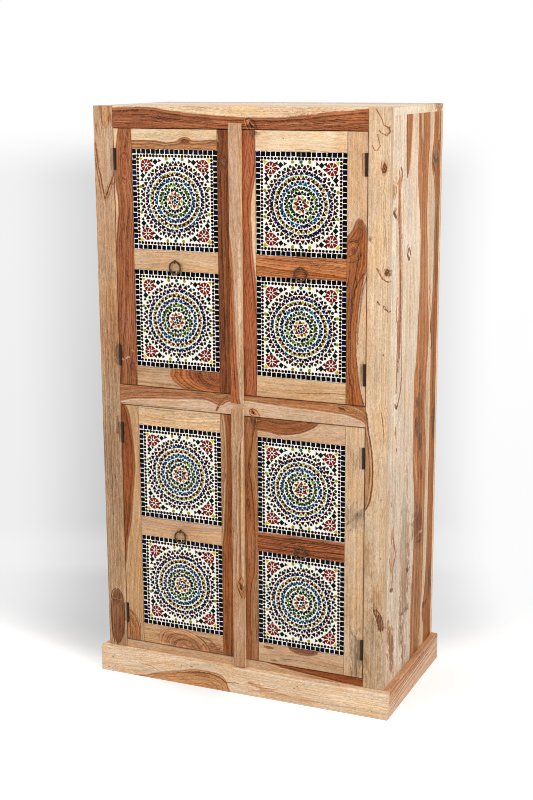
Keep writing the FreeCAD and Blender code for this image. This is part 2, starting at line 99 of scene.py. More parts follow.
class Graph:
    """Adds nodes to one tree. Each method returns the output socket of what it adds."""

    def __init__(self, tree):
        self.tree = tree

    def add(self, kind, **settings):
        node = self.tree.nodes.new(kind)
        for key, value in settings.items():
            setattr(node, key, value)
        return node

    def feed(self, socket, value):
        if isinstance(value, bpy.types.NodeSocket):
            self.tree.links.new(value, socket)
        elif value is not None:
            socket.default_value = value

    def feed_all(self, sockets, **values):
        """Feeds sockets by name; an underscore in a name stands for a space."""
        for name, value in values.items():
            self.feed(sockets[name.replace("_", " ")], value)

    def place(self):
        """The place on the object, in metres."""
        return self.add("ShaderNodeTexCoord").outputs["Object"]

    def split(self, vector):
        node = self.add("ShaderNodeSeparateXYZ")
        self.feed(node.inputs[0], vector)
        return node.outputs

    def math(self, operation, *values, clamp=False):
        node = self.add("ShaderNodeMath", operation=operation, use_clamp=clamp)
        for socket, value in zip(node.inputs, values):
            self.feed(socket, value)
        return node.outputs[0]

    def step(self, value, low, high, to_low=0.0, to_high=1.0):
        """A smooth step of value from low to high."""
        node = self.add("ShaderNodeMapRange", interpolation_type="SMOOTHSTEP")
        for socket, given in zip(node.inputs, (value, low, high, to_low, to_high)):
            self.feed(socket, given)
        return node.outputs[0]

    def near(self, value, middle, outer, inner, most=1.0):
        """Most where value is within inner of the middle, falling to 0 at outer."""
        if middle:
            value = self.math("SUBTRACT", value, middle)
        return self.step(self.math("ABSOLUTE", value), outer, inner, 0.0, most)

    def noise(self, scale=1.0, detail=2.0, roughness=0.5, vector=None, w=None):
        node = self.add("ShaderNodeTexNoise", noise_dimensions="3D" if w is None else "1D")
        self.feed(node.inputs["Vector" if w is None else "W"], vector if w is None else w)
        self.feed_all(node.inputs, Scale=scale, Detail=detail, Roughness=roughness)
        return node.outputs["Fac"]

    def grained(self, place, along, across, detail=2, roughness=0.5):
        """Noise that is stretched along the grain. The two scales are per mm."""
        vector = self.scaled(place, along, across, across)
        return self.noise(vector=vector, detail=detail, roughness=roughness)

    def swayed(self, value, noise, reach):
        """A value moved to and fro by noise."""
        return self.math("MULTIPLY_ADD", self.math("SUBTRACT", noise, 0.5), reach, value)

    def vector(self, x, y, z):
        node = self.add("ShaderNodeCombineXYZ")
        for socket, value in zip(node.inputs, (x, y, z)):
            self.feed(socket, value)
        return node.outputs[0]

    def warm(self, level, powers):
        """A grey level as a colour whose green and blue are raised to the two powers."""
        green, blue = (self.math("POWER", level, power) for power in powers)
        return self.vector(level, green, blue)

    def scaled(self, vector, x, y, z):
        node = self.add("ShaderNodeVectorMath", operation="MULTIPLY")
        self.feed(node.inputs[0], vector)
        node.inputs[1].default_value = (x, y, z)
        return node.outputs[0]

    def dot(self, vector, direction):
        node = self.add("ShaderNodeVectorMath", operation="DOT_PRODUCT")
        self.feed(node.inputs[0], vector)
        node.inputs[1].default_value = direction
        return node.outputs["Value"]

    def mix(self, factor, first, second, blend="MIX"):
        node = self.add("ShaderNodeMix", data_type="RGBA", blend_type=blend)
        self.feed(node.inputs["Factor"], factor)
        self.feed(node.inputs[6], first)
        self.feed(node.inputs[7], second)
        return node.outputs[2]

    def tinted(self, factor, colour, tint):
        """A colour times a tint, by a factor."""
        return self.mix(factor, colour, self.mix(1.0, colour, tint, "MULTIPLY"))

    def mix_shader(self, factor, first, second):
        node = self.add("ShaderNodeMixShader")
        for socket, value in zip(node.inputs, (factor, first, second)):
            self.feed(socket, value)
        return node.outputs[0]

    def turned(self, place, middle, size, turn):
        """The two distances from a middle, turned and divided by two sizes.
        The place is (along, across, 1), so one dot product does the lot."""
        cosine, sine = math.cos(turn), math.sin(turn)
        distances = []
        for u, v, unit in ((cosine, sine, size[0]), (-sine, cosine, size[1])):
            start = -(u * middle[0] + v * middle[1]) / unit
            distances.append(self.dot(place, (u / unit, v / unit, start)))
        return distances

    def away(self, place, centre, reach, turn=0.0):
        """Distance from an ellipse's centre, which is 1 on its outline."""
        first, second = self.turned(place, centre, reach, math.radians(turn))
        square = self.math("MULTIPLY_ADD", second, second, self.math("MULTIPLY", first, first))
        return self.math("SQRT", square)

    def guide(self, along, points, low, high):
        """A drawn line across a board: points are (along, across) in mm."""
        start, end = points[0][0], points[-1][0]
        share = self.math("DIVIDE", self.math("SUBTRACT", along, start), end - start, clamp=True)
        node = self.add("ShaderNodeFloatCurve")
        line = node.mapping.curves[0]
        for number, (u, v) in enumerate(points):
            spot = ((u - start) / (end - start), (v - low) / (high - low))
            if number < 2:
                line.points[number].location = spot
            else:
                line.points.new(*spot)
        for point in line.points:
            point.handle_type = "AUTO_CLAMPED"
        node.mapping.update()
        self.feed(node.inputs["Value"], share)
        return self.math("MULTIPLY_ADD", node.outputs[0], high - low, low)


def material(name):
    made = bpy.data.materials.new(name)
    made.use_nodes = True
    made.node_tree.nodes.clear()
    graph = Graph(made.node_tree)
    shader = graph.add("ShaderNodeBsdfPrincipled")
    output = graph.add("ShaderNodeOutputMaterial")
    made.node_tree.links.new(shader.outputs[0], output.inputs["Surface"])
    return made, graph, shader


def bump(graph, shader, height, distance, strength):
    node = graph.add("ShaderNodeBump")
    graph.feed_all(node.inputs, Distance=distance, Strength=strength, Height=height)
    graph.feed(shader.inputs["Normal"], node.outputs[0])


# Wood

AXES = {"x": 0, "y": 1, "z": 2}
UPRIGHT = ("z", "x", "y")
LEVEL = ("x", "z", "y")
# How far apart two seeds lie along the grain, in mm.
SEED_SHIFT = 977.0
# A distance that counts as no knot or line nearby.
FAR = 9.0
# How much growth bands and dark lines count in sapwood and in heartwood.
BAND_WEIGHTS = (0.2, 0.78)
LINE_WEIGHTS = (-0.14, -0.46)
# Each finer layer: its scales along and across the grain, its detail and roughness, the
# step that sharpens it, and how much it counts in sapwood and in heartwood.
GRAIN_LAYERS = {
    "streak": ((0.02, 0.24, 3, 0.62), (0.3, 0.7, -0.5, 0.5), 0.17, 0.42),
    "fleck": ((0.2, 0.4, 3, 0.7), (0.3, 0.7, -0.5, 0.5), 0.25, 0.36),
    "speck": ((0.1, 0.18, 2, 0.7), (0.34, 0.66, -0.5, 0.5), 0.16, 0.22),
    "pores": ((0.06, 0.42, 1, 0.5), (0.6, 0.7, 0.0, 1.0), -0.15, -0.24),
    "cloud": ((0.007, 0.02, 3, 0.5), None, 0.46, 0.7),
}
GRAIN_LEVEL = 1.04
DARKEST, LIGHTEST = 0.25, 1.4
# Dark grain and shadow turn warm: green and blue fall faster than red.
GRAIN_POWERS = (1.15, 1.34)
SHADOW_POWERS = (1.15, 1.3)
# Colours that faded or warm wood is multiplied by, and those of knots, seams and rims.
FADED = srgb(236, 224, 208)
WARMED = srgb(255, 242, 221)
HALO = srgb(214, 168, 128)
KNOT_DARK, KNOT_LIGHT = srgb(92, 52, 30), srgb(170, 112, 70)
KNOT_HEART, KNOT_RIM = srgb(48, 28, 20), srgb(80, 44, 26)
SEAM = srgb(112, 68, 42)
EYE_RIM = srgb(110, 62, 34)
# Every drawn edge sways with the grain: noise scales along and across, per mm, and the reach
# in mm of each on guides, knots and patches.
WAVE, WAVE_REACH, WAVE_DRIFT = (0.011, 0.03), 5.0, -14.0
RIPPLE, RIPPLE_REACH = (0.05, 0.1), 2.8
TREMOR, TREMOR_REACH = (0.12, 0.3), 2.0
# The reach of ripple and tremor on strokes, in mm, and how much wider a stroke is drawn.
STROKE_RIPPLE, STROKE_TREMOR, STROKE_SOFTNESS = 1.6, 2.4, 1.3
# How strong the shadows are at a board's seen edge: on its face and just past it.
FACE_SHADOW, CUT_SHADOW = 0.34, 0.2


def group(name, inputs, outputs):
    """A node group; inputs and outputs give a kind of socket for each name."""
    tree = bpy.data.node_groups.new(name, "ShaderNodeTree")
    for side, sockets in (("INPUT", inputs), ("OUTPUT", outputs)):
        for label, kind in sockets.items():
            tree.interface.new_socket(label, in_out=side, socket_type="NodeSocket" + kind)
    graph = Graph(tree)
    return graph, graph.add("NodeGroupInput").outputs, graph.add("NodeGroupOutput").inputs


def knotted(graph, place, away, colour):
    """Dark round knots with a rim, and a warm halo outside it."""
    rough = graph.grained(place, 0.09, 0.13, 4, 0.6)
    knot = graph.math("MULTIPLY_ADD", rough, 1.5, graph.math("SUBTRACT", away, 0.75))
    colour = graph.tinted(graph.step(knot, 2.3, 0.9, 0.0, 0.7), colour, HALO)
    turns = graph.noise(w=graph.math("MULTIPLY", knot, 4.2), detail=3, roughness=0.6)
    inner = graph.mix(graph.step(turns, 0.4, 0.6), KNOT_DARK, KNOT_LIGHT)
    inner = graph.mix(graph.step(knot, 0.4, 0.12), inner, KNOT_HEART)
    colour = graph.mix(graph.step(knot, 1.04, 0.9), colour, inner)
    return graph.mix(graph.near(knot, 0.98, 0.17, 0.04, 0.75), colour, KNOT_RIM)


def make_grain():
    """Growth bands, dark lines, streaks, pores and knots over a board's tone."""
    graph, given, end = group(
        "hardwood_grain",
        {"Place": "Vector", "Ring": "Float", "Tone": "Color", "Knot": "Float", "Figure": "Float",
         "Shadow": "Float"},
        {"Color": "Color", "Roughness": "Float", "Height": "Float"})
    place, tone = given["Place"], given["Tone"]
    grey = graph.add("ShaderNodeRGBToBW")
    graph.feed(grey.inputs[0], tone)
    heart = graph.step(grey.outputs[0], 0.44, 0.17)
    ring = graph.math("MULTIPLY_ADD", graph.grained(place, 0.008, 0.03), 9.0, given["Ring"])
    ring = graph.math("MULTIPLY_ADD", graph.grained(place, 0.03, 0.16), 2.6, ring)
    bands = graph.noise(w=graph.math("MULTIPLY", ring, 0.14), detail=5, roughness=0.72)
    bands = graph.step(bands, 0.36, 0.64, -0.5, 0.5)
    lines = graph.noise(w=graph.math("MULTIPLY_ADD", ring, 0.3, 31.7), detail=2)
    fade = graph.step(graph.grained(place, 0.012, 0.05), 0.3, 0.6, 0.35, 1.0)
    lines = graph.math("MULTIPLY", graph.step(lines, 0.56, 0.68), fade)
    parts = {"bands": (bands, *BAND_WEIGHTS), "lines": (lines, *LINE_WEIGHTS)}
    for name, (figure, sharpen, in_sap, in_heart) in GRAIN_LAYERS.items():
        part = graph.grained(place, *figure)
        part = graph.step(part, *sharpen) if sharpen else graph.math("SUBTRACT", part, 0.5)
        parts[name] = (part, in_sap, in_heart)
    shade = 0.0
    for part, in_sap, in_heart in parts.values():
        weight = graph.math("MULTIPLY_ADD", heart, in_heart - in_sap, in_sap)
        shade = graph.math("MULTIPLY_ADD", part, weight, shade)
    shade = graph.math("MULTIPLY_ADD", shade, given["Figure"], GRAIN_LEVEL)
    shade = graph.math("MINIMUM", graph.math("MAXIMUM", shade, DARKEST), LIGHTEST)
    colour = graph.mix(1.0, tone, graph.warm(shade, GRAIN_POWERS), "MULTIPLY")
    drift = graph.step(graph.grained(place, 0.005, 0.04), 0.42, 0.62)
    drift = graph.math("MULTIPLY", drift, graph.math("MULTIPLY_ADD", heart, 0.3, 0.25))
    colour = graph.tinted(drift, colour, FADED)
    warmth = graph.step(graph.grained(place, 0.009, 0.028, 3, 0.6), 0.46, 0.62, 0.0, 0.7)
    colour = graph.tinted(warmth, colour, WARMED)
    colour = knotted(graph, place, given["Knot"], colour)
    light = graph.math("SUBTRACT", 1.0, given["Shadow"])
    colour = graph.mix(1.0, colour, graph.warm(light, SHADOW_POWERS), "MULTIPLY")
    bands, pores, fleck = (parts[name][0] for name in ("bands", "pores", "fleck"))
    rough = graph.math("MULTIPLY_ADD", bands, -0.07, graph.math("MULTIPLY_ADD", pores, 0.14, 0.52))
    height = graph.math("MULTIPLY_ADD", pores, -0.5, graph.math("MULTIPLY", fleck, 0.6))
    height = graph.math("MULTIPLY_ADD", bands, 0.3, height)
    graph.feed_all(end, Color=colour, Roughness=rough, Height=height)
    return graph.tree


def make_line(points, width):
    """A node group that gives the squared distance from a drawn line, 1 at its half width."""
    graph, given, end = group("figure_line", {"Place": "Vector"}, {"Away": "Float"})
    nearest = FAR
    for (u1, v1), (u2, v2) in zip(points, points[1:]):
        half = math.hypot(u2 - u1, v2 - v1) / 2 / width
        middle = ((u1 + u2) / 2, (v1 + v2) / 2)
        slant = math.atan2(v2 - v1, u2 - u1)
        first, second = graph.turned(given["Place"], middle, (width, width), slant)
        past = graph.math("SUBTRACT", graph.math("ABSOLUTE", first), half)
        past = graph.math("MAXIMUM", past, 0.0)
        square = graph.math("MULTIPLY_ADD", second, second, graph.math("MULTIPLY", past, past))
        nearest = graph.math("MINIMUM", nearest, square)
    graph.feed(end["Away"], nearest)
    return graph.tree


GRAIN = make_grain()


def bent_round(graph, flat, across, knots, bends):
    """Growth lines led round knots and bends, and the distance from the nearest knot."""
    nearest = FAR
    for number, (u, v, reach_u, reach_v, turn) in enumerate((*knots, *bends)):
        away = graph.away(flat, (u, v), (reach_u, reach_v), turn)
        pull = graph.step(away, 3.4, 0.4, 0.0, 0.9)
        across = graph.math("MULTIPLY_ADD", graph.math("SUBTRACT", v, across), pull, across)
        if number < len(knots):
            nearest = graph.math("MINIMUM", nearest, away)
    return across, nearest


def between_guides(graph, along, across, guides, tones):
    """Growth rings that follow the guides, and a tone on each side of each guide."""
    levels = [v for line in guides for _, v in line]
    low, high = min(levels) - 30.0, max(levels) + 30.0
    lines = [graph.guide(along, line, low, high) for line in guides]
    offsets = [graph.math("SUBTRACT", across, line) for line in lines]
    ring = graph.math("MINIMUM", offsets[0], 0.0)
    for number, (points, after) in enumerate(zip(guides, guides[1:])):
        gap = max(6.0, sum(abs(b[1] - a[1]) for a, b in zip(points, after)) / len(points))
        width = graph.math("SUBTRACT", lines[number + 1], lines[number])
        width = graph.math("MAXIMUM", width, 0.5)
        share = graph.math("DIVIDE", offsets[number], width, clamp=True)
        ring = graph.math("MULTIPLY_ADD", share, graph.math("MINIMUM", width, gap), ring)
    ring = graph.math("ADD", ring, graph.math("MAXIMUM", offsets[-1], 0.0))
    colour = tone_of(tones[0])
    for number, (offset, before, after) in enumerate(zip(offsets, tones, tones[1:])):
        colour = graph.mix(graph.step(offset, -1.0, 1.0), colour, tone_of(after))
        apart = sum(abs(a - b) for a, b in zip(tone_of(before), tone_of(after)))
        dark = graph.near(offset, 0.0, 3.4, 0.6, min(0.55, apart))
        for neighbour, sign in ((number - 1, -1.0), (number + 1, 1.0)):
            if 0 <= neighbour < len(lines):
                room = graph.math("SUBTRACT", lines[neighbour], lines[number])
                room = graph.math("MULTIPLY", room, sign)
                dark = graph.math("MULTIPLY", dark, graph.step(room, 1.5, 5.0))
        colour = graph.mix(dark, colour, SEAM)
    return ring, colour


def edge_shadow(graph, along, across, sunk, edges):
    """A soft shadow at the edges of the seen face, and on the first of the cut side."""
    inner = 40.0
    for coordinate, (near, far) in zip((along, across), edges):
        inner = graph.math("MINIMUM", inner, graph.math("SUBTRACT", coordinate, near))
        inner = graph.math("MINIMUM", inner, graph.math("SUBTRACT", far, coordinate))
    on_face = graph.step(sunk, 1.0, 0.7)
    on_face = graph.math("MULTIPLY", graph.step(inner, 2.0, 0.3, 0.0, FACE_SHADOW), on_face)
    cut = graph.math("MULTIPLY", graph.step(sunk, 0.5, 0.9), graph.step(sunk, 2.4, 1.6))
    cut = graph.math("MULTIPLY", cut, graph.step(inner, 0.2, 1.2, 0.0, CUT_SHADOW))
    return graph.math("MAXIMUM", on_face, cut)


def wood(name, axes, tones, guides=(), knots=(), bends=(), eyes=(), patches=(), strokes=(),
         sides=None, shade=None, edges=None, slope=0.4, face=-230.0, seed=0, figure=1.0, gloss=0.18):
    """One board's wood. axes names the grain's axis, the axis across it and the depth.
    guides are lines along the board with a tone on each side of each, and strokes are
    free lines drawn on it. Places are (along, across), and all sizes are in mm."""
    made, graph, shader = material(name)
    outputs = graph.split(graph.scaled(graph.place(), 1000.0, 1000.0, 1000.0))
    along, level, depth = (outputs[AXES[axis]] for axis in axes)
    sunk = graph.math("SUBTRACT", depth, face)
    place = graph.vector(graph.math("ADD", along, SEED_SHIFT * seed), level, depth)
    wave, ripple, tremor = (graph.grained(place, *scales) for scales in (WAVE, RIPPLE, TREMOR))
    across = level
    for noise, reach in ((wave, WAVE_REACH), (ripple, RIPPLE_REACH), (tremor, TREMOR_REACH)):
        across = graph.swayed(across, noise, reach)
    across = graph.math("MULTIPLY_ADD", sunk, slope, across)
    drift = graph.swayed(along, wave, WAVE_DRIFT)
    flat = graph.vector(drift, across, 1.0)
    ring, nearest = bent_round(graph, flat, across, knots, bends)
    colour = tone_of(tones[0])
    if guides:
        ring, colour = between_guides(graph, drift, ring, guides, tones)
    for u, v, reach_u, reach_v, turn, tone, rings in eyes:
        away = graph.away(flat, (u, v), (reach_u, reach_v), turn)
        inside = graph.step(away, 1.03, 0.97)
        circled = graph.math("MULTIPLY", inside, rings)
        kept = graph.math("MULTIPLY", ring, graph.math("SUBTRACT", 1.0, circled))
        own = graph.math("MULTIPLY", away, min(reach_u, reach_v))
        ring = graph.math("ADD", kept, graph.math("MULTIPLY", own, circled))
        colour = graph.mix(inside, colour, tone_of(tone))
        colour = graph.mix(graph.near(away, 0.98, 0.05, 0.01, 0.35), colour, EYE_RIM)
    fuzz = graph.math("MULTIPLY_ADD", tremor, 3.0, -1.5)
    ragged = graph.math("MULTIPLY_ADD", ripple, 2.6, graph.math("MULTIPLY_ADD", fuzz, 0.3, -1.3))
    # Painted highlight: the cut sides below the face get the lighter sides colour, as if they caught more
    # light.
    if sides:
        below = graph.step(graph.math("ABSOLUTE", sunk), 0.6, 1.1)
        colour = graph.mix(below, colour, tone_of(sides))
    for u, v, reach_u, reach_v, turn, tone, amount in patches:
        away = graph.math("ADD", graph.away(flat, (u, v), (reach_u, reach_v), turn), ragged)
        colour = graph.mix(graph.step(away, 1.25, 0.6, 0.0, amount), colour, tone_of(tone))
    if strokes:
        sway = graph.swayed(graph.swayed(level, tremor, STROKE_TREMOR), ripple, STROKE_RIPPLE)
        drawn = graph.vector(along, sway, 1.0)
    for points, width, tone, amount in strokes:
        line = make_line(points, STROKE_SOFTNESS * width)
        drawing = graph.add("ShaderNodeGroup", node_tree=line)
        graph.feed(drawing.inputs["Place"], drawn)
        away = graph.math("ADD", drawing.outputs["Away"], fuzz)
        colour = graph.mix(graph.step(away, 1.3, 0.3, 0.0, amount), colour, tone_of(tone))
    if shade:
        light = graph.guide(along, shade, 0.0, 2.0)
        colour = graph.mix(1.0, colour, graph.vector(light, light, light), "MULTIPLY")
    shadow = edge_shadow(graph, along, level, sunk, edges) if edges else 0.0
    grain = graph.add("ShaderNodeGroup", node_tree=GRAIN)
    graph.feed_all(grain.inputs, Place=place, Ring=ring, Tone=colour, Knot=nearest, Figure=figure,
                   Shadow=shadow)
    graph.feed_all(shader.inputs, Base_Color=grain.outputs["Color"],
                   Roughness=grain.outputs["Roughness"], Specular_IOR_Level=gloss)
    bump(graph, shader, grain.outputs["Height"], 0.0003, 0.5)
    return made


# Boards from the frame, with their edges eased

BOARD_EASE, PLANK_EASE = 0.6 * MM, 0.5 * MM
# The case's outer edges have no shadow: their boards count as longer or wider by this, in mm.
FREE_EDGE = 100


def put(name, mesh, body, slot, *replaced):
    piece = bpy.data.objects.new(name, mesh)
    bpy.context.scene.collection.objects.link(piece)
    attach(piece, body)
    if replaced:
        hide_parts(*replaced)


def mesh_from(name, shape, *looks):
    mesh = bpy.data.meshes.new(name)
    shape.to_mesh(mesh)
    shape.free()
    for look in looks:
        mesh.materials.append(look)
    return mesh


def ease(shape, width):
    """Breaks every sharp edge of a shape."""
    sharp = [edge for edge in shape.edges
             if len(edge.link_faces) == 2 and edge.calc_face_angle(0.0) > math.radians(30)]
    bmesh.ops.bevel(shape, geom=sharp, offset=width, segments=2, profile=0.6, affect="EDGES",
                    clamp_overlap=True)


def box_shape(shape, low, high, material_index):
    corners = [shape.verts.new((x, y, z)) for x in (low[0], high[0]) for y in (low[1], high[1])
               for z in (low[2], high[2])]
    for ring in ((0, 1, 3, 2), (4, 6, 7, 5), (0, 4, 5, 1), (2, 3, 7, 6), (0, 2, 6, 4), (1, 5, 7, 3)):
        face = shape.faces.new([corners[number] for number in ring])
        face.material_index = material_index


def eased_board(node, look):
    """A board as the frame has it, with eased edges."""
    shape = bmesh.new()
    shape.from_mesh(nodes[node].data)
    bmesh.ops.remove_doubles(shape, verts=shape.verts, dist=0.02 * MM)
    bmesh.ops.dissolve_limit(shape, angle_limit=math.radians(1), verts=shape.verts,
                             edges=shape.edges)
    ease(shape, BOARD_EASE)
    mesh = mesh_from(node + "_eased", shape, look)
    put(node + "_eased", mesh, nodes[node]["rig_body"], "pale_hardwood", node)


def seen_edges(name, axes):
    """Where a board's face ends, in mm. Tenons don't show, and outer edges of the case are free."""
    low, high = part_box(name)
    spans = {"x": [low.x / MM, high.x / MM], "z": [low.z / MM, high.z / MM]}
    if name.startswith("front_"):
        spans["x"] = [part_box("left_front_post")[1].x / MM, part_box("right_front_post")[0].x / MM]
    elif name.endswith("_rail"):
        door = name.split("_door_")[0] + "_door_"
        stiles = sorted((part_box(door + stile + "_stile") for stile in ("hinge", "meeting")),
                        key=lambda box: box[0].x)
        spans["x"] = [stiles[0][1].x / MM, stiles[1][0].x / MM]
    elif "post" in name:
        outer, side = (0, -1) if name.startswith("left") else (1, 1)
        spans["x"][outer] += side * FREE_EDGE
        spans["z"] = [low.z / MM - FREE_EDGE, high.z / MM + FREE_EDGE]
    if name == "front_top_rail":
        spans["z"][1] += FREE_EDGE
    return [spans[axis] for axis in axes[:2]]


def board(name, **spec):
    """One board of the frame in wood of its own. Flush boards of the face also get edge shadows."""
    proud = name.startswith(("back", "plinth")) or "strip" in name
    if spec["axes"] in (UPRIGHT, LEVEL) and not proud:
        spec["edges"] = seen_edges(name, spec["axes"])
    eased_board(name, wood(name + "_wood", **spec))


BARK = (116, 62, 30)
RUST = (172, 100, 52)

board("left_front_post",
    axes=UPRIGHT, seed=1, tones=((196, 157, 122), (200, 165, 133), (196, 157, 122)),
    eyes=((180, -424, 92, 24, 0, (148, 96, 60), 0.0),),
    guides=(((0, -410), (1460, -410), (1482, -426), (1530, -434), (1604, -447), (1680, -460), (1750, -470)),
        ((0, -440), (1460, -440), (1482, -426), (1510, -412), (1540, -399), (1620, -385), (1750, -380))),
    patches=((240, -424, 24, 15, 0, (116, 74, 48), 0.8), (140, -424, 50, 10, 0, (126, 80, 50), 0.6),
        (1730, -412, 50, 15, 0, (186, 138, 92), 0.8), (1530, -440, 50, 9, 3, (202, 160, 122), 0.6),
        (720, -430, 120, 30, 0, "grey", 0.7), (1120, -420, 150, 40, 0, (188, 138, 94), 0.75),
        (1019, -399, 34, 8, 0, (130, 92, 64), 0.5), (792, -401, 34, 7, 0, (130, 92, 64), 0.5),
        (1290, -424, 60, 30, 0, (178, 140, 106), 0.5), (250, -396, 70, 4, 0, "cream", 0.4)),
    strokes=((((1640, -450), (1576, -446), (1541, -438), (1510, -433), (1482, -425), (1501, -418),
         (1522, -409), (1544, -398), (1562, -391)), 6.0, (170, 118, 78), 0.5),
        (((1626, -449), (1576, -443), (1541, -435), (1510, -430), (1482, -424), (1501, -416), (1522, -407),
         (1544, -396), (1562, -391)), 1.8, BARK, 0.85),
        (((1600, -451), (1560, -448), (1520, -440)), 1.3, RUST, 0.6),
        (((1486, -414), (1512, -403), (1535, -396)), 2.0, RUST, 0.7),
        (((1530, -404), (1524, -396), (1531, -392)), 1.2, BARK, 0.7),
        (((1747, -430), (1700, -424), (1687, -415), (1698, -405), (1722, -401)), 3.0, RUST, 0.6),
        (((1747, -404), (1715, -398), (1695, -394)), 2.4, RUST, 0.5),
        (((1700, -447), (1655, -448), (1626, -450)), 1.8, RUST, 0.6),
        (((271, -428), (262, -440), (236, -447), (180, -448), (120, -444), (90, -438)), 1.6, (88, 54, 36),
         0.8), (((271, -420), (262, -410), (236, -402), (180, -399), (120, -404)), 1.4, (88, 54, 36), 0.7),
        (((238, -444), (236, -424), (235, -404)), 1.0, (190, 136, 92), 0.8)),
    shade=((0, 0.84), (300, 0.83), (500, 0.77), (1000, 0.84), (1350, 0.97), (1750, 0.97)))
board("right_front_post",
    axes=UPRIGHT, seed=2, tones=((192, 148, 108), (228, 196, 161)), knots=((1590, 438, 12, 6, 0),
    (1309, 449, 9, 6, 0)),
    guides=(((0, 385), (600, 385), (632, 397), (651, 405), (672, 410), (707, 414), (738, 415), (769, 414),
         (800, 410), (832, 406), (863, 400), (900, 396), (960, 385), (1750, 385)),),
    patches=((360, 430, 40, 16, 0, (206, 158, 116), 0.6), (470, 400, 60, 20, 0, (204, 164, 126), 0.6),
        (250, 424, 60, 14, 0, (186, 160, 132), 0.6), (740, 399, 90, 7, 0, "tan", 0.8),
        (180, 420, 160, 30, 0, (190, 156, 122), 0.6), (1399, 398, 8, 4, 0, "brown", 0.7),
        (1391, 407, 4, 2, 0, "brown", 0.6), (1697, 448, 9, 4, 60, "honey", 0.6)),
    strokes=((((1746, 412), (1732, 421), (1719, 429), (1704, 434), (1700, 442), (1697, 449), (1687, 453),
         (1676, 445), (1679, 436), (1683, 427), (1690, 422)), 1.5, RUST, 0.8),
        (((1679, 418), (1666, 420), (1648, 425), (1638, 418), (1637, 409), (1650, 403)), 1.2, RUST, 0.75),
        (((1697, 448), (1688, 452), (1680, 444)), 2.2, BARK, 0.5),
        (((1606, 430), (1590, 429), (1578, 433)), 1.2, RUST, 0.8),
        (((1604, 437), (1592, 444), (1578, 440)), 1.8, BARK, 0.7),
        (((908, 395), (883, 397), (863, 399), (832, 406), (800, 411), (769, 414), (738, 415), (707, 414),
         (672, 410), (651, 406), (638, 400), (630, 396)), 1.8, BARK, 0.85),
        (((884, 392), (832, 399), (790, 403), (740, 406), (690, 404)), 1.2, RUST, 0.5),
        (((1318, 420), (1305, 428), (1291, 436), (1286, 445), (1283, 454)), 1.6, BARK, 0.75),
        (((1316, 424), (1298, 433), (1290, 441)), 2.6, RUST, 0.5),
        (((1300, 455), (1310, 457), (1318, 450), (1316, 443)), 1.4, "dark", 0.7),
        (((1227, 423), (1220, 428)), 2.0, BARK, 0.8),
        (((1217, 439), (1208, 442), (1205, 448), (1214, 447), (1217, 440)), 1.1, BARK, 0.8),
        (((1208, 447), (1200, 455)), 1.4, BARK, 0.8),
        (((917, 439), (900, 441), (880, 444), (866, 446), (852, 448)), 1.3, (104, 84, 66), 0.55),
        (((904, 440), (870, 444), (825, 447)), 1.0, (92, 70, 54), 0.5),
        (((1520, 441), (1490, 443), (1460, 440), (1420, 443), (1370, 441)), 1.2, (168, 140, 112), 0.5),
        (((1500, 436), (1450, 438), (1400, 446), (1350, 446)), 1.0, (160, 134, 106), 0.45),
        (((324, 429), (312, 432)), 6.0, (172, 118, 78), 0.9),
        (((308, 439), (292, 442), (276, 445)), 7.6, (150, 96, 60), 0.95),
        (((328, 423), (318, 425), (306, 431), (296, 434), (284, 437), (272, 442), (264, 447)),
         1.5, (104, 62, 38), 0.85),
        (((330, 430), (322, 438), (312, 445), (298, 450), (284, 452), (268, 451)), 1.4, (110, 68, 42),
         0.85), (((262, 446), (240, 450), (226, 448)), 1.4, RUST, 0.6),
        (((1080, 441), (1079, 442)), 1.6, BARK, 0.7), (((786, 441), (785, 442)), 1.5, BARK, 0.6),
        (((662, 440), (661, 441)), 1.5, BARK, 0.6), (((487, 441), (486, 442)), 1.8, BARK, 0.7)),
    shade=((0, 0.8), (300, 0.8), (600, 0.82), (1000, 0.98), (1400, 0.97), (1600, 0.95), (1750, 0.92)))
board("front_top_rail",
    axes=LEVEL, seed=3, figure=1.25, tones=((154, 90, 52), (229, 194, 156)),
    eyes=((48, 1692, 31, 10.5, -52, (206, 128, 72), 0.5),),
    guides=(((-392, 1744), (-300, 1746), (-200, 1736), (-100, 1727), (0, 1721), (75, 1719), (150, 1721),
         (250, 1731), (350, 1741), (392, 1745)),),
    patches=((-260, 1712, 120, 9, 4, (132, 74, 44), 0.55), (310, 1724, 110, 14, 0, (178, 108, 66), 0.6),
        (250, 1700, 120, 5, -3, (124, 70, 42), 0.5), (-40, 1708, 40, 5, 0, (190, 120, 76), 0.5),
        (50, 1702, 30, 16, -40, (140, 80, 46), 0.5)),
    strokes=((((30, 1714), (40, 1719), (54, 1711), (65, 1693), (71, 1672)), 1.8, (96, 50, 28), 0.9),
        (((30, 1714), (33, 1702), (42, 1687), (52, 1673), (60, 1664)), 1.7, (104, 54, 30), 0.85),
        (((43, 1707), (47, 1699), (49, 1694)), 2.6, (30, 20, 22), 0.95),
        (((40, 1712), (52, 1700), (60, 1682)), 1.0, (150, 84, 46), 0.8),
        (((44, 1688), (50, 1678)), 1.2, (150, 84, 46), 0.8),
        (((-392, 1722), (-320, 1724), (-240, 1717), (-180, 1711)), 1.5, (104, 58, 34), 0.5),
        (((-380, 1706), (-280, 1704), (-180, 1700)), 1.3, (188, 114, 70), 0.6),
        (((90, 1700), (180, 1706), (300, 1702), (392, 1704)), 1.3, (192, 118, 74), 0.6),
        (((180, 1716), (260, 1712), (330, 1716), (392, 1714)), 1.4, (104, 58, 34), 0.5)))
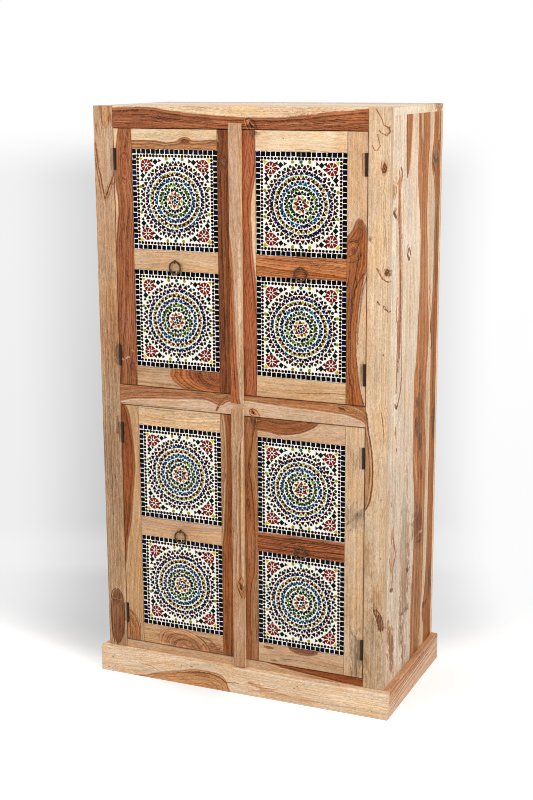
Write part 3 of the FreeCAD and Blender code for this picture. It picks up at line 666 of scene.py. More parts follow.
board("front_middle_rail",
    axes=LEVEL, seed=4, tones=((209, 174, 143), (172, 117, 76)), bends=((322, 916, 12, 5, 0),),
    guides=(((-392, 878), (-340, 889), (-300, 893), (-200, 899), (-120, 905), (-85, 900), (-60, 894),
         (-40, 902), (-20, 908), (18, 914), (60, 912), (150, 908), (250, 905), (320, 902), (350, 896),
         (382, 886), (392, 876)),),
    patches=((-240, 912, 130, 6, 0, (150, 100, 66), 0.6), (260, 914, 110, 8, 2, (190, 132, 86), 0.8),
        (0, 876, 380, 4, 0, (196, 168, 140), 0.4)),
    strokes=((((-50, 909), (-56, 900), (-64, 889), (-71, 876)), 3.0, (186, 108, 58), 0.9),
        (((-46, 911), (-54, 903), (-61, 891), (-70, 875)), 1.1, BARK, 0.8),
        (((-55, 907), (-64, 894), (-72, 877)), 1.1, BARK, 0.8),
        (((42, 884), (52, 876), (64, 862)), 7.0, (204, 136, 82), 0.95),
        (((44, 882), (48, 879)), 5.0, (142, 84, 48), 0.9),
        (((45, 882), (48, 879)), 2.2, (58, 34, 26), 0.95),
        (((34, 886), (46, 892), (58, 886), (68, 872)), 1.3, (124, 72, 42), 0.85),
        (((34, 886), (36, 876), (46, 866)), 1.2, (124, 72, 42), 0.8),
        (((314, 917), (323, 916), (330, 914)), 2.4, (84, 50, 34), 0.85),
        (((-392, 872), (-250, 871), (-120, 873)), 0.9, (120, 96, 78), 0.5)))
board("front_bottom_rail",
    axes=LEVEL, seed=5, tones=((200, 162, 126), (144, 77, 38)),
    guides=(((-392, 120), (60, 112), (120, 104), (150, 101), (190, 98), (250, 93), (330, 87), (392, 84)),),
    strokes=((((130, 102), (200, 97), (280, 91), (340, 86)), 1.8, (96, 52, 30), 0.7),
        (((220, 88), (300, 84), (380, 82)), 1.4, (190, 124, 76), 0.6)))
board("plinth_front",
    axes=LEVEL, seed=6, tones=((200, 144, 95), (228, 198, 166)),
    guides=(((-475, -20), (-340, -6), (-280, 12), (-200, 32), (-120, 47), (-75, 45), (-45, 30), (-30, 0),
         (0, -20), (200, -20), (475, -20)),),
    # The first patch is a painted highlight: a pale line along the plinth's rounded top edge.
    patches=((0, 80, 600, 4, 0, (244, 214, 176), 0.7), (70, 26, 50, 7, -12, (196, 140, 94), 0.7),
        (150, 8, 110, 8, 0, (202, 156, 112), 0.6), (370, 50, 130, 30, 0, (244, 214, 180), 0.8),
        (-120, 34, 50, 8, 4, (150, 96, 62), 0.6), (-180, 14, 90, 10, 0, (206, 158, 112), 0.5)),
    strokes=((((-60, 40), (-40, 30), (-2, 34)), 1.5, BARK, 0.7),
        (((-290, 14), (-240, 25), (-190, 37), (-130, 48), (-90, 49), (-62, 42), (-42, 28), (-34, 6)),
         1.6, (140, 90, 54), 0.7),
        (((-250, 12), (-180, 27), (-120, 37), (-80, 35), (-58, 22), (-52, 4)), 1.3, (146, 96, 60), 0.65),
        (((-200, 12), (-140, 24), (-100, 26), (-76, 14), (-70, 2)), 1.3, (146, 96, 60), 0.65),
        (((-150, 8), (-110, 14), (-90, 4)), 1.2, (146, 96, 60), 0.6),
        (((60, 20), (110, 28), (160, 22)), 1.6, (176, 122, 82), 0.6),
        (((32, 42), (56, 36), (92, 33), (130, 36)), 1.3, RUST, 0.6),
        (((-340, 44), (-300, 40), (-270, 28)), 0.9, (150, 120, 96), 0.6),
        (((-160, 62), (-157, 61)), 2.0, BARK, 0.7), (((-436, 50), (-433, 49)), 1.8, (92, 74, 60), 0.8),
        (((182, 50), (184, 50)), 1.8, BARK, 0.7), (((-452, 12), (-449, 12)), 1.6, RUST, 0.8),
        (((240, 20), (300, 16), (380, 22)), 1.6, (206, 162, 120), 0.6)))
board("plinth_right",
    axes=("y", "z", "x"), face=475.0, seed=7, tones=((228, 188, 156), (212, 160, 118)),
    guides=(((-250, 40), (-180, 46), (-100, 52), (0, 56), (100, 60), (250, 70)),),
    strokes=((((-250, 16), (-150, 22), (0, 32), (120, 38), (250, 46)), 2.2, (196, 140, 104), 0.7),
        (((-160, 4), (0, 12), (120, 20), (250, 26)), 1.8, (204, 150, 116), 0.6),
        (((-250, 70), (-160, 76), (-40, 74), (100, 76)), 3.0, (164, 104, 66), 0.75),
        (((-180, 58), (-60, 64), (80, 68), (250, 78)), 2.2, (156, 98, 60), 0.75),
        (((-220, 34), (-100, 42), (40, 48), (160, 54)), 1.8, (172, 112, 76), 0.65)))
board("plinth_left",
    axes=("y", "z", "x"), face=-475.0, seed=8, tones=("tan", "cream"), guides=(((-250, 30), (0, 22),
    (250, 34)),))
board("top_panel",
    axes=("x", "y", "z"), face=1750.0, seed=9, tones=((210, 190, 168), (220, 203, 184), (206, 184, 160)),
    # sides: a painted highlight on the panel's cut edges.
    sides=(255, 238, 212),
    guides=(((-455, -90), (0, -60), (455, -100)), ((-455, 60), (0, 110), (455, 90))),
    patches=((455, 200, 20, 34, 0, (190, 128, 78), 0.9), (455, 120, 20, 40, 0, (226, 186, 142), 0.6)))
board("back_panel",
    axes=("z", "x", "y"), face=250.0, seed=10, tones=("cream", "straw", "honey", "cream", "straw"),
    # sides: a painted highlight on the panel's cut edges.
    sides=(234, 202, 164),
    guides=(((0, -300), (900, -260), (1750, -320)), ((0, -80), (900, -40), (1750, -90)),
        ((0, 60), (900, 20), (1750, 90)), ((0, 300), (900, 330), (1750, 280))))
board("upper_cover_strip",
    # sides: a painted highlight on the strip's cut sides.
    axes=UPRIGHT, face=-242.0, seed=11, tones=((174, 102, 60), (197, 159, 128)), sides=(234, 200, 156),
    shade=((905, 0.98), (1300, 1.0), (1704, 0.97)),
    guides=(((905, 11), (924, 7), (971, 4), (1017, 1), (1064, -1), (1111, -3), (1174, -4), (1250, -7),
         (1322, -11), (1380, -16), (1430, -24), (1704, -40)),),
    patches=((1180, 12, 200, 4, 0, "pale", 0.6), (1600, 0, 110, 10, 0, (206, 170, 142), 0.6)))
board("lower_cover_strip",
    axes=UPRIGHT, face=-242.0, seed=12, tones=((188, 148, 114), (176, 116, 70), (218, 182, 142)),
    # sides: a painted highlight on the strip's cut sides.
    sides=(226, 192, 150), shade=((85, 1.02), (400, 0.97), (887, 0.96)),
    guides=(((85, 26), (318, 26), (332, 4), (349, 2), (480, 4), (700, 5), (790, 11), (820, 26), (887, 26)),
        ((85, 26), (318, 26), (345, 11), (480, 9), (700, 10), (790, 13), (820, 26), (887, 26))),
    strokes=((((362, 7), (346, 9), (328, 11), (314, 13)), 8.0, (192, 122, 72), 0.9),
        (((374, 10), (362, 2), (345, -3), (328, 1), (310, 10)), 1.7, BARK, 0.85),
        (((352, 6), (344, 9), (337, 9)), 3.4, (72, 42, 28), 0.95),
        (((372, 14), (350, 15), (330, 16), (312, 13)), 1.4, RUST, 0.8)))
board("upper_left_door_hinge_stile",
    axes=UPRIGHT, seed=13, tones=("cream", (162, 99, 60)), shade=((930, 0.84), (1150, 0.9), (1350, 0.98),
    (1686, 1.0)), eyes=((1575, -352, 50, 17, 0, (168, 98, 62), 0.8),), knots=((986, -347, 9, 6, 0),),
    guides=(((930, -420), (1200, -395), (1320, -391), (1369, -388), (1416, -383), (1447, -379),
         (1479, -380), (1516, -385), (1560, -388), (1619, -385), (1651, -381), (1688, -375)),),
    patches=((1280, -378, 60, 7, 0, (186, 112, 68), 0.6), (1120, -362, 40, 12, 0, (172, 106, 78), 0.6),
        (980, -350, 30, 14, 0, (136, 80, 54), 0.5), (1000, -352, 60, 16, 0, (144, 86, 60), 0.4)),
    strokes=((((1006, -382), (1004, -377)), 2.0, (226, 180, 138), 0.9),
        (((1009, -368), (1013, -364), (1014, -358)), 1.8, (226, 180, 138), 0.85),
        (((1036, -349), (1032, -342)), 2.0, (206, 150, 112), 0.7),
        (((991, -336), (992, -331)), 2.0, (206, 150, 112), 0.8)))
board("upper_left_door_meeting_stile",
    axes=UPRIGHT, seed=14, figure=1.2, tones=((122, 66, 28), (126, 70, 32)), knots=((1598, -38, 14, 9, 0),),
    guides=(((930, -30), (1200, -34), (1500, -40), (1686, -30)),),
    patches=((1673, -57, 14, 3, 0, "tan", 0.7), (1180, -40, 150, 6, 0, (146, 92, 52), 0.6)),
    strokes=((((1236, -52), (1200, -46), (1140, -42), (1080, -46), (1030, -54)), 1.3, (96, 56, 32), 0.6),
        (((1220, -36), (1170, -34), (1110, -34), (1060, -38)), 1.2, (96, 56, 32), 0.55)))
board("upper_left_door_top_rail",
    axes=LEVEL, seed=15, tones=((180, 122, 78), (224, 194, 156)), knots=((-158, 1652, 10, 5, 0),),
    guides=(
        ((-332, 1652), (-260, 1652), (-220, 1647), (-190, 1650), (-158, 1660), (-130, 1653), (-60, 1657)),),
    strokes=((((-332, 1651), (-260, 1651), (-220, 1646), (-190, 1649), (-160, 1658), (-132, 1652),
         (-62, 1655)), 1.7, (128, 78, 44), 0.75),
        (((-332, 1641), (-240, 1640), (-160, 1644), (-62, 1642)), 1.2, (146, 94, 56), 0.5)))
board("upper_left_door_middle_rail",
    axes=LEVEL, seed=16, tones=((206, 168, 128), (208, 172, 136)), guides=(((-332, 1300), (-200, 1310),
    (-60, 1296)),),
    strokes=((((-290, 1330), (-200, 1334), (-150, 1331)), 1.2, (186, 128, 86), 0.6),
        (((-310, 1302), (-308, 1302)), 1.6, BARK, 0.6)))
board("upper_left_door_bottom_rail",
    axes=LEVEL, seed=17, tones=((186, 148, 112),), shade=((-332, 0.98), (-60, 0.94)),
    eyes=((-60, 978, 160, 66, 0, (176, 106, 58), 1.0), (-48, 980, 112, 46, 0, (152, 86, 46), 1.0)),
    strokes=((((-200, 984), (-206, 972), (-190, 950), (-160, 932)), 1.4, (118, 68, 38), 0.6),
        (((-120, 986), (-128, 972), (-110, 950), (-84, 938)), 1.4, (108, 60, 34), 0.6)))
board("upper_right_door_meeting_stile",
    axes=UPRIGHT, seed=18, tones=((168, 96, 60), (226, 188, 148)),
    patches=((1674, 52, 13, 8, 0, (110, 66, 42), 0.9),),
    guides=(((930, 90), (1100, 76), (1230, 61), (1300, 53), (1332, 50), (1379, 47), (1410, 46), (1441, 43),
         (1472, 43), (1504, 46), (1535, 52), (1570, 60), (1686, 80)),))
board("upper_right_door_top_rail",
    axes=LEVEL, seed=19, figure=0.8, tones=((232, 202, 166), (236, 206, 170)), guides=(((60, 1650),
    (200, 1656), (332, 1646)),),
    patches=((64, 1678, 9, 9, 0, (142, 88, 54), 0.9), (320, 1650, 30, 40, 0, (222, 182, 142), 0.8),
        (80, 1664, 22, 40, 0, (228, 190, 148), 0.6), (200, 1626, 140, 5, 0, (216, 172, 130), 0.7)),
    strokes=((((143, 1665), (144, 1664)), 1.5, BARK, 0.7),
        (((180, 1634), (210, 1637), (240, 1633)), 1.2, (176, 134, 98), 0.5)))
board("upper_right_door_hinge_stile",
    axes=UPRIGHT, seed=20, tones=((214, 176, 140), (162, 94, 50), (216, 178, 142)),
    guides=(((930, 300), (1390, 326), (1407, 337), (1416, 345), (1432, 354), (1443, 357), (1450, 368),
         (1458, 380), (1686, 380)),
        ((930, 386), (955, 379), (980, 373), (1011, 368), (1049, 364), (1080, 361), (1111, 360),
         (1155, 362), (1199, 367), (1236, 371), (1267, 376), (1292, 382), (1311, 388), (1350, 396),
         (1405, 392), (1419, 387), (1429, 384), (1443, 377), (1450, 364), (1458, 352), (1686, 352))),
    eyes=((1370, 352, 30, 18, 0, (176, 106, 60), 1.0), (1364, 352, 11, 8, 0, (132, 72, 40), 1.0)),
    patches=((1180, 342, 140, 7, 0, (142, 86, 52), 0.6), (1019, 384, 34, 5, 0, (150, 112, 80), 0.6),
        (1640, 372, 40, 10, 0, (220, 178, 138), 0.5)),
    strokes=((((1396, 329), (1412, 343), (1434, 356), (1447, 361), (1452, 367), (1446, 377), (1431, 385),
         (1412, 393)), 2.4, (140, 108, 82), 0.75),
        (((1296, 392), (1262, 380), (1230, 376), (1190, 372), (1150, 367), (1105, 365)),
         2.0, (140, 102, 74), 0.6),
        (((1344, 330), (1350, 345), (1362, 358), (1380, 366), (1392, 362), (1394, 350), (1386, 341)),
         1.3, (104, 60, 34), 0.75),
        (((1330, 331), (1332, 350), (1340, 366), (1360, 378)), 1.4, (104, 60, 34), 0.7),
        (((1302, 382), (1268, 361), (1236, 351), (1200, 346), (1120, 343)), 2.0, (98, 56, 32), 0.8),
        (((1290, 360), (1240, 342), (1190, 334)), 1.4, (112, 64, 36), 0.6),
        (((1390, 336), (1400, 346), (1420, 358), (1428, 366), (1420, 376), (1400, 386)), 1.2, (112, 66, 40),
         0.6), (((1388, 342), (1390, 352), (1388, 361)), 1.6, (70, 42, 28), 0.8),
        (((1311, 388), (1292, 382), (1267, 376), (1236, 371), (1199, 367), (1155, 362), (1111, 360),
         (1080, 361), (1049, 364), (1011, 368), (980, 373), (955, 379), (933, 385)), 1.6, (112, 70, 46),
         0.65)))
board("upper_right_door_middle_rail",
    axes=LEVEL, seed=21, figure=1.2, tones=((190, 118, 66), (190, 120, 72)),
    guides=(((60, 1316), (150, 1308), (240, 1304), (332, 1296)),),
    strokes=((((60, 1330), (150, 1326), (240, 1330), (332, 1334)), 1.2, (118, 66, 36), 0.6),
        (((60, 1300), (130, 1294), (230, 1290), (332, 1286)), 1.4, (118, 66, 36), 0.6)))
board("upper_right_door_bottom_rail",
    axes=LEVEL, seed=22, tones=((206, 164, 124), (212, 172, 130)), guides=(((60, 944), (200, 938),
    (332, 942)),),
    strokes=((((180, 950), (240, 952), (290, 957), (330, 959)), 1.2, (128, 98, 74), 0.6),
        (((200, 944), (260, 948)), 1.0, (150, 112, 80), 0.5)))
board("lower_left_door_hinge_stile",
    axes=UPRIGHT, seed=23, tones=((147, 80, 37), (203, 162, 119)), shade=((110, 0.92), (866, 0.94)),
    eyes=((128, -392, 82, 48, 0, (180, 122, 78), 1.0),),
    guides=(((110, -400), (349, -392), (371, -388), (402, -384), (433, -381), (457, -374), (488, -369),
         (519, -364), (551, -361), (582, -358), (610, -355), (635, -352), (660, -350), (691, -349),
         (722, -350), (754, -353), (785, -357), (816, -361), (838, -364), (854, -370), (869, -379)),),
    strokes=((((214, -383), (199, -371), (192, -358), (177, -349), (161, -344), (140, -346), (120, -352),
         (110, -356)), 1.5, (130, 86, 56), 0.6),
        (((840, -380), (780, -376), (720, -374), (640, -378)), 1.3, (96, 54, 30), 0.5)))
board("lower_left_door_meeting_stile",
    axes=UPRIGHT, seed=24, tones=((178, 136, 98), (152, 88, 42)),
    guides=(((110, -62), (350, -58), (457, -55), (504, -50), (566, -47), (629, -44), (691, -39), (738, -38),
         (785, -39), (832, -42), (866, -47)),),
    strokes=((((350, -58), (457, -55), (504, -50), (566, -47), (629, -44), (691, -39), (738, -38),
         (785, -39), (832, -42), (866, -47)), 2.2, (110, 76, 50), 0.6),))
board("lower_left_door_top_rail",
    axes=LEVEL, seed=25, figure=1.3, tones=((222, 184, 142), (214, 180, 142)),
    guides=(((-332, 846), (-200, 838), (-100, 846), (-60, 850)),),
    strokes=((((-320, 862), (-250, 860), (-200, 862)), 1.1, (150, 136, 126), 0.6),))
board("lower_left_door_middle_rail",
    axes=LEVEL, seed=26, tones=((206, 166, 126), (198, 160, 126)), guides=(((-332, 490), (-200, 484),
    (-60, 492)),))
board("lower_left_door_bottom_rail",
    axes=LEVEL, seed=27, tones=((198, 156, 114),),
    eyes=((-194, 116, 90, 53, -10, (200, 148, 106), 1.0), (-182, 106, 58, 42, -14, (186, 132, 92), 1.0),
        (-178, 104, 30, 23, -10, (204, 150, 104), 1.0)),
    patches=((-250, 140, 34, 26, 0, (176, 124, 84), 0.7), (-96, 118, 34, 26, -10, (158, 104, 66), 0.85),
        (-160, 112, 40, 8, 0, (160, 108, 70), 0.6), (-210, 126, 30, 8, 20, (164, 112, 74), 0.6)),
    strokes=((((-150, 158), (-128, 146), (-110, 128), (-102, 110)), 1.6, (132, 84, 54), 0.75),
        (((-132, 156), (-104, 148), (-84, 132), (-76, 112)), 1.6, (136, 88, 56), 0.7),
        (((-268, 124), (-262, 148), (-240, 164), (-210, 168)), 1.4, (138, 90, 58), 0.7),
        (((-256, 120), (-246, 142), (-222, 152), (-190, 152), (-160, 140), (-140, 118)), 1.3, (146, 96, 62),
         0.6), (((-230, 116), (-216, 134), (-190, 138), (-166, 128), (-158, 112)), 1.2, (150, 98, 62), 0.6),
        (((-206, 112), (-192, 122), (-178, 118)), 1.2, (140, 90, 58), 0.6)))
board("lower_right_door_meeting_stile",
    axes=UPRIGHT, seed=28, tones=((156, 98, 58), (168, 122, 84)), knots=((715, 34, 8, 3, 0),
    (604, 29, 9, 4, 0)),
    guides=(((110, 44), (300, 40), (430, 58), (597, 54), (629, 50), (676, 45), (707, 40), (741, 42),
         (776, 48), (807, 54), (866, 64)),),
    patches=((850, 50, 15, 13, 0, (104, 66, 42), 0.85), (470, 36, 60, 12, 0, (176, 122, 84), 0.5)),
    strokes=((((800, 44), (770, 40), (741, 38)), 1.2, (92, 54, 34), 0.6),))
board("lower_right_door_top_rail",
    axes=LEVEL, seed=29, tones=((204, 168, 135), (151, 90, 51)),
    guides=(((60, 830), (100, 827), (130, 822), (180, 830), (210, 840), (232, 851), (256, 870), (332, 900)),
        ),
    patches=((66, 860, 12, 9, 30, (150, 98, 60), 0.95), (66, 853, 12, 3, 20, (96, 60, 38), 0.8)),
    strokes=((((60, 829), (100, 826), (130, 821), (180, 829), (210, 839), (232, 850), (250, 864)),
         1.6, (108, 70, 48), 0.6),))
board("lower_right_door_middle_rail",
    axes=LEVEL, seed=30, figure=1.4, tones=((156, 88, 48), "cream"), guides=(((60, 516), (200, 518),
    (332, 517)),),
    strokes=((((60, 504), (150, 500), (240, 504), (332, 500)), 1.6, (92, 46, 24), 0.75),
        (((60, 488), (130, 486), (220, 480), (332, 484)), 1.8, (84, 42, 22), 0.8),
        (((60, 472), (160, 470), (260, 466), (332, 468)), 2.0, (84, 42, 22), 0.75),
        (((180, 494), (250, 496), (332, 492)), 1.2, (196, 116, 60), 0.6)))
board("lower_right_door_hinge_stile",
    axes=UPRIGHT, seed=31, tones=((210, 177, 142),),
    patches=((170, 372, 90, 22, 0, (158, 134, 110), 0.85), (600, 358, 40, 30, -20, (168, 144, 118), 0.75),
        (760, 350, 60, 14, 0, (196, 158, 118), 0.7), (420, 380, 90, 10, 0, (222, 184, 142), 0.7),
        (330, 346, 60, 12, 0, (184, 150, 116), 0.7)),
    strokes=((((800, 356), (760, 358), (720, 354)), 1.6, (150, 128, 104), 0.6),
        (((770, 366), (740, 362)), 1.4, (148, 124, 100), 0.6),
        (((628, 389), (616, 380), (608, 368), (600, 362)), 4.4, (128, 112, 96), 0.55),
        (((612, 388), (604, 376)), 4.0, (120, 104, 90), 0.5),
        (((594, 356), (584, 348), (576, 338)), 3.6, (134, 118, 102), 0.5),
        (((576, 366), (566, 352), (556, 342)), 2.2, (146, 126, 106), 0.5),
        (((820, 346), (780, 349)), 1.4, (156, 134, 110), 0.5),
        (((300, 352), (240, 350), (180, 353)), 1.8, (150, 124, 98), 0.5),
        (((150, 360), (130, 372), (118, 384)), 1.6, (150, 124, 98), 0.5)))
board("lower_right_door_bottom_rail",
    axes=LEVEL, seed=32, tones=((199, 164, 130), (208, 172, 139)), shade=((60, 0.98), (332, 0.98)),
    guides=(((60, 140), (200, 150), (332, 142)),),
    eyes=((204, 170, 48, 19, 0, (166, 118, 82), 0.3), (206, 170, 34, 12, 0, (140, 92, 60), 0.3)),
    patches=((91, 158, 20, 4, 0, (130, 88, 58), 0.85), (108, 119, 14, 6, 10, (160, 108, 70), 0.7)),
    strokes=((((160, 166), (196, 152), (214, 152), (246, 164)), 1.2, (112, 72, 46), 0.7),
        (((130, 128), (200, 132), (280, 128), (330, 132)), 1.0, (156, 118, 86), 0.5)))


# Side walls of four planks

SAP = (243, 219, 193)
HEART = (193, 125, 72)
SLATE = (204, 192, 178)
SIENNA = (198, 136, 84)
